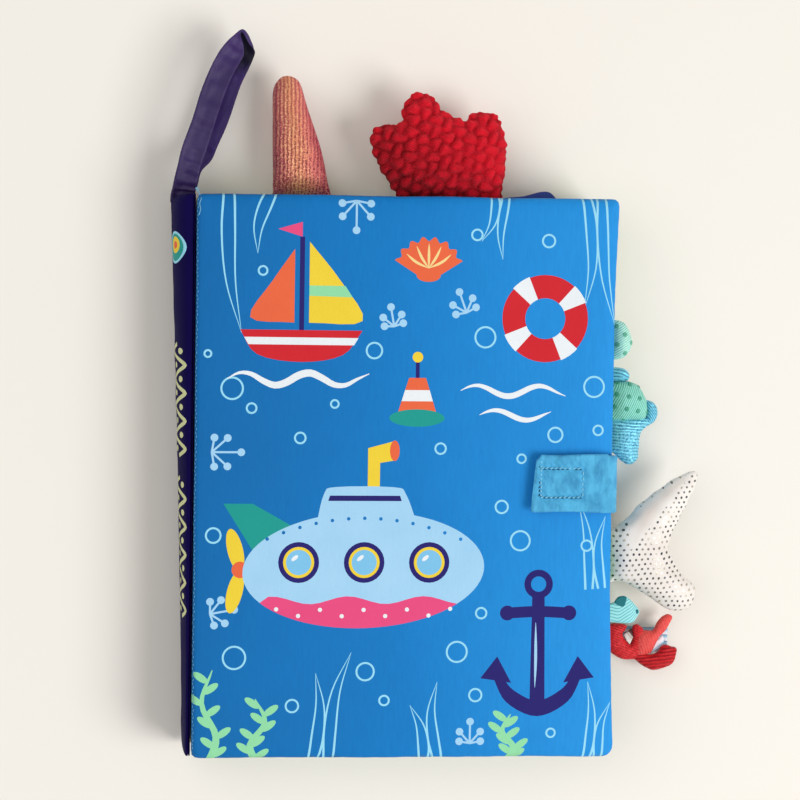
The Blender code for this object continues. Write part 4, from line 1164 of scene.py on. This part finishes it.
def hornFinish():
    # Pleated lame: gold threads in the pleats on a pink ground that turns darker and more mauve towards both
    # sides, partly the cloth's own colour and partly painted shade on the rounded horn.
    finish = Finish("goldPinkLame", {"Metallic": 0.25, "Specular IOR Level": 0.5})
    x, y = finish.across("X"), finish.across("Y")
    patches = finish.noise(0.11, 2.0)
    slope = (x + 56) / (25 - (y - 115) * 0.24)
    # Across the horn, dark mauve at the sides and light in the middle: painted shade on its rounded sides,
    # partly its own colour.
    ground = finish.ramp(slope + patches * 0.3 - 0.15,
                         [(0.0, ink(136, 44, 76)), (0.22, ink(184, 86, 88)), (0.5, ink(216, 132, 98)),
                          (0.78, ink(226, 118, 112)), (1.0, ink(190, 62, 88))])
    pleat = ((x + patches * 1.6) * (2 * math.pi / pleatPitch)).sine()
    glitter = finish.noise(1.5, 1.0)
    low = (1 - (y - 114) / 34).atLeast(0)
    gold = (pleat * 0.34 + (glitter - 0.5) * (low * 4 + 2.4)).atLeast(0).atMost(1)
    # The gold thins towards both sides, a painted highlight along the rounded middle, and thins low down as
    # well.
    gold = gold * (1.1 - (slope - 0.46) * (slope - 0.46) * 4 - low * 0.6).atLeast(0.3)
    dark = (0.1 - pleat) * 0.5 + (0.44 - glitter) * (low * 5 + 1.6) + low * slope * 0.4
    paint = finish.mixed(dark.atLeast(0).atMost(0.85), ground, ink(98, 18, 36))
    paint = finish.mixed(gold, paint, ink(255, 204, 150))
    return finish.paint(paint, 0.6 - gold * 0.25, glitter, 0.1)


def hornRelief(points, normals):
    sway = 0.5 * ripple(points[:, :2], 30, 71)
    flatter = np.abs(normals[:, 2]) ** 1.5
    out = np.clip((points[:, 1] - 115) / 4, 0, 1)
    return 0.22 * flatter * np.sin((points[:, 0] + sway) * 2 * math.pi / pleatPitch) * out


nubs = {"pitch": 5.9, "row": 4.3, "turn": -28, "wide": 3.05, "tall": 2.7, "high": 2.6, "sunk": 1.15}


def nubGap(x, y, sine, wrap, least):
    # Squared distance to the middle of the nearest nub. Rows are staggered, and wander as knitting does.
    a, pitch, row = math.radians(nubs["turn"]), nubs["pitch"], nubs["row"]
    u, v = x * math.cos(a) - y * math.sin(a), x * math.sin(a) + y * math.cos(a)
    u, v = u + sine(v * 0.9 + 1) * 0.7, v + sine(u * 0.8) * 0.5
    found = []
    for k in (0, 1):
        across = (wrap(u - k * pitch / 2, pitch) - pitch / 2) / nubs["wide"]
        along = (wrap(v - k * row, 2 * row) - row) / nubs["tall"]
        found.append(across * across + along * along + sine(u * 0.31 + v * 0.53 + k * 2) * 0.13)
    return least(*found)


def knitFinish():
    # Red bobble knit: matt yarn with fine fibres, with painted shade between the nubs and towards the lower
    # left.
    finish = Finish("redBobbleKnit", {"Sheen Weight": 0.03, "Sheen Roughness": 0.4, "Specular IOR Level": 0.12})
    x, y = finish.across("X"), finish.across("Y")
    yarn = finish.noise(1.6, 5.0)
    cloud = finish.noise(0.1, 3.0)
    gap = nubGap(x, y, Wire.sine, Wire.wrapped, Wire.atMost)
    threads = ((x * 0.8 + y * 2.2 + cloud * 4) * 4.2).sine()
    patchyGrooveShade = (finish.noise(0.22, 2.0) * 2.4 - 0.6).atLeast(0.15).atMost(1.2)
    share = yarn * 0.9 + cloud * 0.3 - threads * 0.1 - 0.42
    # Darker between the nubs: painted shade in the grooves, patchy in strength.
    share = share + ((gap - 0.4) * 0.6).atLeast(-0.24).atMost(0.3) * patchyGrooveShade
    # Darker towards the lower left and lighter towards the upper right: painted shade for light from the upper
    # right.
    share = share + (0.66 - (x + 15) * 0.009 - (y - 115) * 0.014).atLeast(0)
    return finish.paint(finish.mixed(share.atLeast(0).atMost(1), ink(255, 30, 52), ink(84, 0, 8)),
                        cloud * 0.1 + 0.8, threads * 0.5 + yarn * 1.4, 0.35)


def bobbles(points, normals):
    gap = nubGap(points[:, 0], points[:, 1], np.sin, np.mod, np.minimum)
    filled = np.clip(0.3 + 0.4 * ripple(points[:, :2], 8, 77), 0.05, 0.6)
    nub = np.clip(1 - gap, 0, 1) ** 0.95
    nub = np.where(nub < filled, 0.65 * filled + 0.35 * nub, nub)
    tall = 0.4 + 0.6 * np.abs(normals[:, 2])
    return tall * (nubs["high"] * nub - nubs["sunk"]) + 0.16 * ripple(points[:, :2], 1.7, 72)


def spotGap(x, y, spots, wrap):
    # Squared distance to the nearest spot of a slanted grid.
    (x0, y0), (ux, uy), (vx, vy) = spots
    area, dx, dy = ux * vy - uy * vx, x - x0, y - y0
    i = wrap((dx * vy - dy * vx) / area + 0.5, 1) - 0.5
    j = wrap((dy * ux - dx * uy) / area + 0.5, 1) - 0.5
    gx, gy = i * ux + j * vx, i * uy + j * vy
    return gx * gx + gy * gy


def ribbedFinish(name, colour, deep, pitch, turn, metal=0.0, rough=0.55, dots=None, spots=None, line=0.34,
                 fleckAndGlint=0.3, bend=0.0):
    # Ribbed jersey; metal makes it glint, fleck breaks the ribs up and flecks the colour lighter and darker,
    # partly the yarn's own unevenness and partly painted glints. dots colours the studs at the spots.
    finish = Finish(name, {"Metallic": metal, "Sheen Weight": 0.03, "Specular IOR Level": 0.25})
    x, y = finish.across("X"), finish.across("Y")
    a = math.radians(turn)
    drift = finish.noise(0.25, 2.0) * 1.6 * fleckAndGlint
    along = x * math.cos(a) + y * math.sin(a) + drift + (x - 92) * (x - 92) * bend
    rib = (along * (2 * math.pi / pitch)).sine()
    glint = finish.noise(1.3, 3.0)
    # The glint noise lightens the smoother spots and darkens the rougher ones: painted glints, partly uneven
    # yarn.
    share = (0.5 - line * 0.6 - rib * line + (glint - 0.5) * fleckAndGlint * 3).atLeast(0).atMost(1)
    paint = finish.mixed(share, colour, deep)
    smoother = glint * 0.25 + (rough - 0.12)
    if dots:
        stud = (1.0 - spotGap(x, y, spots, Wire.wrapped)).over(0)
        paint = finish.mixed(stud * 0.7, paint, dots)
        smoother = smoother - stud * 0.25
    return finish.paint(paint, smoother, rib * 0.5 + glint * (0.3 + fleckAndGlint), 0.08)


def ribs(pitch, turn, high, spots=None, bend=0.0):
    a = math.radians(turn)

    def relief(points, normals):
        x, y = points[:, 0], points[:, 1]
        along = x * math.cos(a) + y * math.sin(a) + 0.25 * ripple(points[:, :2], 9, 74) + (x - 92) ** 2 * bend
        rib = high * np.abs(normals[:, 2]) ** 1.3 * np.sin(along * 2 * math.pi / pitch)
        rib += 0.08 * ripple(points[:, :2], 3.0, 76)
        if not spots:
            return rib
        stud = np.sqrt(np.clip(1 - spotGap(x, y, spots, np.mod) / 1.1, 0, 1))
        return np.where(stud > 0, 0.42 * stud, rib)

    return relief


def finFinish():
    # Cream satin with foil dots in staggered rows; the foil catches the light here and there. Along the upper
    # edge a band has no dots and a greyer ground: a painted reflection of the foil there.
    finish = Finish("silverDotSatin", {"Sheen Weight": 0.08, "Specular IOR Level": 0.4})
    x, y = finish.across("X"), finish.across("Y")
    cloud = finish.noise(0.07, 2.0)
    pitch, row = 2.5, 2.1
    bent = y + cloud * 3.0 - x * 0.06
    line = bent.wrapped(row) - row / 2
    odd = bent.wrapped(row * 2).over(row)
    spot = (x + odd * (pitch / 2) + cloud * 2).wrapped(pitch) - pitch / 2
    # The band along the upper edge where the foil would shine: no dots there, a painted reflection.
    off = x - 102
    edge = off * 0.82 - off * off * 0.008 - 12.3 - y
    foilGlareBand = ((y + 17.3 - (x - 107.7) * 1.19) * 0.65).atMost(edge).atMost((x - 96) * 0.5).atLeast(0)
    dot = (0.5 - (line * line + spot * spot) ** 0.5).over(0) * (0.05 - foilGlareBand).over(0)
    tone = finish.noise(0.16, 3.0)
    foil = finish.ramp(tone, [(0.36, ink(36, 46, 66)), (0.5, ink(120, 116, 110)), (0.6, ink(206, 196, 176))])
    # The band also greys the ground a little, part of the painted reflection.
    shade = (finish.noise(0.06, 3.0) * 0.9 + foilGlareBand * 0.14 - 0.1).atLeast(0).atMost(1)
    ground = finish.mixed(shade, ink(248, 245, 240), ink(222, 208, 198))
    return finish.paint(finish.mixed(dot, ground, foil), 0.5 - dot * 0.2, finish.noise(1.1, 3.0) - dot * 0.6,
                        0.06, dot * 0.6)


def finFolds(points, normals):
    # Slack cloth: soft creases that run out from the root and across the narrow waist.
    spot = points[:, :2]
    across = (points[:, 1] + 34) * 0.9 + (points[:, 0] - 87) * 0.35
    return 0.3 * ripple(spot, 13, 75) + 0.16 * np.sin(across * 0.85) * np.clip((points[:, 0] - 88) / 6, 0, 1)


hornCloth, knitCloth, finCloth = hornFinish(), knitFinish(), finFinish()
domeSpots = ((88.9, 55.5), (2.9, 4.3), (3.2, -3.4))
shellSpots = ((96.2, 33.6), (4.9, -0.8), (-0.8, -5.2))
mintRib = ribbedFinish("mintRib", ink(200, 252, 238), ink(66, 170, 146), 0.85, 125, dots=ink(20, 150, 110),
                       spots=domeSpots, line=0.4, fleckAndGlint=0.12)
shellRib = ribbedFinish("shellRib", ink(162, 238, 220), ink(40, 140, 122), 0.85, 155, dots=ink(16, 138, 102),
                        spots=shellSpots, line=0.4, fleckAndGlint=0.12)
tealRib = ribbedFinish("tealRib", ink(146, 234, 255), ink(0, 104, 156), 1.3, 86, line=0.28, metal=0.25,
                       rough=0.42, fleckAndGlint=0.75)
tealLobe = ribbedFinish("tealLobe", ink(130, 220, 246), ink(0, 86, 138), 1.45, 80, metal=0.25, rough=0.4,
                        line=0.5, fleckAndGlint=0.45, bend=0.04)
redRib = ribbedFinish("redRib", ink(240, 44, 50), ink(140, 2, 12), 1.0, 70, metal=0.05, rough=0.5, line=0.22,
                      fleckAndGlint=0.55)
redSatin = ribbedFinish("redSatin", ink(246, 96, 88), ink(206, 44, 48), 1.2, 20, metal=0.05, rough=0.5,
                        line=0.16, fleckAndGlint=0.3)
redDeep = ribbedFinish("redDeep", ink(206, 22, 32), ink(122, 0, 10), 1.5, 96, metal=0.05, rough=0.5, line=0.34,
                       fleckAndGlint=0.4)

stuffedTails = {
    "hornTail": {
        "body": "horn", "edge": "head", "gap": 1.5, "taper": 9, "swell": 6.4, "round": 1.0, "pressure": 4.0,
        "cap": 0.5, "cloth": hornCloth, "relief": hornRelief, "slot": "pleated_lame",
        "outline": (
            (-55, 115), (-55.5, 134), (-55.6, 148.4), (-55, 159.3), (-52.3, 164), (-49.4, 165.3),
            (-46.1, 164.6), (-43.4, 161.8), (-40.1, 151.5), (-34.1, 133.9), (-30.3, 115))},
    "bobbleTail": {
        "body": "bobble", "edge": "head", "gap": 1.8, "taper": 12, "swell": 9.0, "level": 20.15, "round": 1.15,
        "pressure": 4.0, "cap": 0.6, "cloth": knitCloth, "relief": bobbles, "slot": "bobble_knit",
        "outline": (
            (-3.1, 115), (-9.8, 124.6), (-13.9, 132.3), (-15.2, 140.3), (-11.5, 145.1), (-2.4, 146.6),
            (-2.4, 151.7), (0.8, 157.1), (5.4, 159.3), (11.3, 157.3), (15.1, 151.7), (24.5, 148.2),
            (26.9, 150.6), (30.7, 152), (38.8, 149.7), (41.4, 142.3), (42.8, 134.4), (40.9, 115))},
    "domeTail": {
        "body": "dome", "gap": 0.9, "taper": 5, "swell": 4.6, "level": 25.95, "pressure": 4.0, "cap": 0.3,
        "cloth": mintRib, "relief": ribs(0.85, 125, 0.1, domeSpots), "slot": "green_rib",
        "outline": (
            (87, 65.9), (90, 65.6), (92.8, 64.2), (94.9, 60), (95.5, 56.5), (94.7, 52.9), (92.6, 50.4),
            (90, 49.4), (87, 49.4))},
    "shellTail": {
        "body": "shell", "gap": 1.0, "swell": 6.6, "pressure": 4.0, "cap": 0.4, "cloth": shellRib,
        "relief": ribs(0.85, 155, 0.1, shellSpots), "slot": "green_rib",
        "outline": (
            (87, 39.6), (89.9, 39.6), (96.8, 39.9), (101.6, 37.9), (105.1, 31.6), (105.3, 25.7),
            (103.5, 23.5), (96.5, 23.1), (87, 23.1))},
    "topLobe": {
        "body": "shell", "nodes": ("top_lobe",), "gap": 0.8, "swell": 3.4, "cloth": tealLobe,
        "relief": ribs(1.45, 80, 0.18, bend=0.04), "slot": "teal_rib",
        "outline": (
            (87, 45.6), (92.1, 45.8), (95.8, 45), (97.6, 42.7), (97, 40.2), (93.5, 39.7), (87, 39.7))},
    "sideFlipper": {
        "body": "shell", "nodes": ("side_flipper",), "gap": 0.7, "taper": 0, "swell": 2.8, "closed": True,
        "cloth": tealLobe, "relief": ribs(1.5, 86, 0.16), "slot": "teal_rib",
        "outline": (
            (104.9, 31.9), (108.5, 30.9), (110.2, 27), (108.9, 23), (105.6, 21.4), (105, 24.7),
            (105.2, 28.8))},
    "lowerLeg": {
        "body": "shell", "nodes": ("lower_leg",), "gap": 1.0, "swell": 5.2, "pressure": 4.0, "cap": 0.3,
        "cloth": tealRib, "relief": ribs(1.3, 86, 0.17), "slot": "teal_rib",
        "outline": (
            (87, 24.6), (96.3, 24.6), (104.6, 25), (107.8, 22.8), (105, 20.2), (103, 17.6),
            (102.2, 10.5), (101.6, 6.3), (98, 4.5), (94.6, 6.2), (90.6, 9.6), (87, 10.8))},
    "finTail": {
        "body": "fin", "gap": 1.6, "taper": 10, "swell": 6.9, "level": 20.15, "pressure": 5.0, "cap": 1.0,
        "cloth": finCloth, "relief": finFolds, "slot": "dotted_white",
        "outline": (
            (87, -22.3), (95.2, -17.7), (102, -10.4), (113.5, -1.5), (122.5, 3.2), (126.5, 0.8),
            (120.7, -15.1), (115.7, -27.8), (116.3, -33.3), (121.2, -41.4), (126.3, -46.9), (126.6, -52),
            (122.4, -57.6), (114.1, -57.1), (104.2, -50.7), (95.7, -45.6), (87, -45.4))},
}
for name, setting in stuffedTails.items():
    stuffed(name, setting)


# ---- ribbon tails and claw

def waveFinish():
    # Pale ribbon with woven wavy stripes.
    finish = Finish("waveRibbon", {"Sheen Weight": 0.3, "Specular IOR Level": 0.5})
    x, y = finish.across("X"), finish.across("Y")
    rise = (x - 94).atLeast(0)
    stripe = ((y - rise * rise * 0.09 + (x * 0.95).sine() * 0.3) * (2 * math.pi / 1.35)).sine()
    thread = finish.noise(1.4, 2.0)
    share = (stripe * 2.2 - 1.1).atLeast(0).atMost(1)
    paint = finish.mixed(share, finish.mixed(thread, ink(176, 246, 246), ink(150, 230, 234)), ink(70, 170, 184))
    return finish.paint(paint, thread * 0.2 + 0.45, stripe * 0.4 + thread, 0.06)


waveCloth = waveFinish()
tealCloth = clothFinish("darkTealCloth", ink(34, 124, 134), rough=0.6, pitch=0.35)


def bandFinish(name, run, stops):
    # Colour bands across the cloth: run is how far a point is along them, in X, Y and to begin with.
    finish = Finish(name, {"Sheen Weight": 0.05, "Specular IOR Level": 0.25})
    slub = finish.noise(1.2, 3.0)
    share = finish.across("X") * run[0] + finish.across("Y") * run[1] + run[2] + slub * 0.12
    if run[3]:
        share = share.wrapped(1.0)
    return finish.paint(finish.ramp(share, stops), slub * 0.1 + 0.55, slub + finish.weave(0.5) * 0.4, 0.05)


grosgrain = bandFinish("paleGrosgrain", (0.02, 0.36, 0.35, True), [
    (0.0, ink(236, 243, 250)), (0.34, ink(228, 240, 250)), (0.42, ink(150, 204, 234)),
    (0.66, ink(160, 210, 236)), (0.72, ink(118, 146, 168)), (0.84, ink(126, 156, 178)),
    (0.9, ink(236, 243, 250))])
# Seen through the hole in the claw: pale with a grey stripe, then dark brown to near black towards the far
# side, painted shadow inside the hole.
liningAndHoleShadow = bandFinish("liningAndHoleShadow", (0.185, 0.168, -6.72, False), [
    (0.0, ink(238, 230, 224)), (0.32, ink(214, 200, 190)), (0.42, ink(176, 154, 142)),
    (0.52, ink(222, 208, 200)), (0.62, ink(110, 70, 64)), (0.8, ink(70, 22, 24))])
whiteLining = bandFinish("whiteLining", (0.2, -0.24, 0.1, True), [
    (0.0, ink(244, 240, 246)), (0.5, ink(240, 240, 250)), (0.6, ink(170, 212, 236)), (0.8, ink(184, 218, 238)),
    (0.9, ink(244, 242, 248))])


def flatPiece(name, outline, low, high, material, body, gap=0.9, bow=0.0, seed=80):
    # A small sewn flat, a little bowed, between two heights.
    line = spaced(np.array(outline, float), gap)
    inner = hexGrid(line, gap, gap * 0.5)
    grid = np.vstack([drawnIn(line, 0.22)] + ([inner] if len(inner) else []))
    flat, faces, rim = cutFlat(line, grid)
    far, _ = nearestOn(line, flat)
    half = (high - low) / 2 * (0.15 + 0.85 * roundRise(far, 0.5))
    middle = (high + low) / 2 + bow * (roundRise(far, 6) + 0.3 * ripple(flat, 5, seed))
    points, shell = pillow(flat, faces, rim, middle + half, middle - half)
    made = piece(name, points, shell, [material])
    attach(made, body)
    return made


ribbonLine = ((87.5, -54.9), (91.4, -54.5), (93.2, -53.4), (94.2, -51.8), (96.9, -51.3), (98.6, -52.0),
              (101.0, -54.2), (103.8, -57.6), (102.9, -60.0), (101.6, -62.2), (99.6, -63.0), (96.0, -62.9),
              (91.0, -62.4), (87.5, -62.4))
foldLine = ((92.7, -54.2), (93.6, -52.3), (95.0, -51.4), (96.8, -51.3), (97.9, -52.0), (97.7, -53.6),
            (96.4, -56.0))
waveRibbon = flatPiece("waveRibbon", smoothLine(ribbonLine, 3), 13.5, 15.1, waveCloth, "wave_ribbon", bow=0.3)
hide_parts("wave_ribbon")
flatPiece("ribbonFold", smoothLine(foldLine, 3, True), 15.0, 15.6, tealCloth, "wave_ribbon", 0.6)
flatPiece("ribbonTip", ((102.0, -57.2), (103.0, -57.0), (103.3, -58.6), (102.2, -59.0)), 15.0, 15.5,
          tealCloth, "wave_ribbon", 0.5)

clawShape = {"body": "claw", "slot": "red_rib", "level": 8.55, "gap": 0.8, "round": 0.8, "taper": 0,
             "swell": 3.0, "closed": True}
clawParts = {
    "clawArm": {
        "nodes": ("claw_arm",), "taper": 7, "swell": 3.2, "closed": False, "cloth": redRib,
        "relief": ribs(1.0, 70, 0.11),
        "outline": (
            (87, -64.2), (90.7, -64), (93, -63.8), (95.9, -63.7), (99.7, -64.5), (99.3, -66.4),
            (97.9, -68.6), (100.9, -72.6), (102.2, -71), (102, -66.7), (102.7, -64.4), (105.2, -64.4),
            (107.4, -67.1), (107.6, -71), (106.6, -75), (105, -78.6), (101.8, -79.3), (99.1, -79.3),
            (96.2, -78.5), (93.4, -76.6), (89.9, -74.3), (87, -73.5))},
    "upperPincer": {
        "nodes": ("upper_pincer",), "cloth": redSatin, "relief": ribs(1.2, 20, 0.05),
        "outline": (
            (106.4, -66.6), (111.1, -66.7), (113, -63.1), (115.1, -60.9), (117.8, -59.8), (119.7, -61.1),
            (118.7, -63.5), (117, -66.7), (114.2, -69.5), (112.5, -72.6), (110.8, -76), (108.5, -77.2),
            (104.4, -78.2), (103, -75), (103.4, -70.6), (104.6, -67.4))},
    "lowerPincer": {
        "nodes": ("lower_pincer",), "cloth": redDeep, "relief": ribs(1.5, 96, 0.12),
        "outline": (
            (101.4, -77.4), (103.6, -79.4), (106, -81.4), (108.5, -82.9), (111.3, -84), (114.6, -83.5),
            (118.9, -82), (120.7, -80.2), (121.5, -77.5), (122.1, -75.3), (121, -74), (118.9, -73.6),
            (117, -72.8), (115.1, -73.6), (113.8, -75.6), (111.7, -76.9), (108.4, -77), (104.4, -75.6))},
}
for name, setting in clawParts.items():
    stuffed(name, {**clawShape, **setting})
flatPiece("clawLining", ((98.2, -68.4), (101.8, -65.6), (102.4, -69.6), (100.9, -72.8), (99.4, -71.2)),
          9.4, 10.2, liningAndHoleShadow, "claw", 0.6)
flatPiece("pincerLining", ((110.6, -77.2), (112.4, -72.0), (115.9, -69.0), (116.6, -71.6), (115.2, -74.2)),
          7.0, 7.8, whiteLining, "claw", 0.6)
underShape = {"wide": 11.0, "thick": 0.6, "hem": 0.08, "cup": 0.0, "crinkle": 0.1, "seed": 62}
underLine = [(x, y, z, 0, 1, 0) for x, y, z in (
    (87.2, -69.5, 8.1), (89.3, -69.7, 7.1), (91.6, -69.9, 5.4), (94.6, -70.2, 4.3), (100, -70.8, 4.3),
    (106, -71.4, 4.3), (113, -71.4, 4.3), (118.6, -71.2, 4.3))]
underRibbon = ribbonMesh("underRibbon", underLine, grosgrain, **underShape)
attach(underRibbon, "claw")
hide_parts("under_ribbon")

hemCloth = clothFinish("hemCloth", ink(58, 78, 156), ink(30, 36, 108))
flatPiece("leafHem", smoothLine(((40.0, 114.2), (44.5, 116.6), (52.0, 117.5), (59.0, 119.4), (63.0, 119.3),
                                 (65.8, 116.8), (67.0, 114.2)), 4), 7.2, 9.9, hemCloth, "leaf_4", 1.0)
print("ribbons and claw sewn")


# ---- finishes of what stays sealed inside

whitePadding = paddingFinish("whitePadding", ink(236, 234, 228))
crinkleFilm = Finish("crinkleFilm", {"Specular IOR Level": 0.6, "Alpha": 1.0})
crease = crinkleFilm.noise(0.3, 5.0)
crinkleFilm.paint(crinkleFilm.mixed(crease, ink(214, 222, 226), ink(180, 190, 198)), crease * 0.2 + 0.15,
                  crease, 0.3)
for name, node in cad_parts.items():
    if node.hide_render:
        continue
    chosen = crinkleFilm.material if "film" in name else whitePadding
    node.data.materials.clear()
    node.data.materials.append(chosen)
    print("sealed inside:", name)


# ---- floor, light and camera

floorFinish = Finish("paleFloor", {"Specular IOR Level": 0.2})
dust = floorFinish.noise(0.01, 2.0)
floorFinish.paint(floorFinish.mixed(dust, ink(246, 241, 233), ink(244, 239, 231)), dust * 0.05 + 0.85)
floor = piece("floor", ((-4000, -4000, 0), (4000, -4000, 0), (4000, 4000, 0), (-4000, 4000, 0)), [(0, 1, 2, 3)],
              [floorFinish.material])

lighting = {
    "key": ((1.3, -0.56, 1.65), 1.3, 29.0),
    "fill": ((-1.0, 0.3, 1.6), 2.0, 10.0),
}
for name, (place, size, power) in lighting.items():
    light = bpy.data.lights.new(name, "AREA")
    light.shape, light.size, light.energy = "DISK", size, power
    lamp = bpy.data.objects.new(name, light)
    bpy.context.scene.collection.objects.link(lamp)
    lamp.location = place
    lamp.rotation_euler = (Vector((0, 0.02, 0.02)) - Vector(place)).to_track_quat("-Z", "Y").to_euler()

world = bpy.data.worlds.new("studio")
world.use_nodes = True
world.node_tree.nodes["Background"].inputs["Color"].default_value = (1.0, 0.99, 0.97, 1)
world.node_tree.nodes["Background"].inputs["Strength"].default_value = 0.42
bpy.context.scene.world = world
bpy.context.scene.view_settings.view_transform = "Standard"

lens = bpy.data.cameras.new("camera")
lens.lens, lens.sensor_width = 110.57, 36
camera = bpy.data.objects.new("camera", lens)
bpy.context.scene.collection.objects.link(camera)
camera.matrix_world = Matrix(((0.99037359, -0.00893557, -0.13813146, -0.14229),
                              (0.01418296, 0.99921273, 0.03705089, 0.06918),
                              (0.13769164, -0.03865334, 0.98972063, 1.03149),
                              (0, 0, 0, 1)))
lens.clip_end = 20
bpy.context.scene.camera = camera
print("stage set")
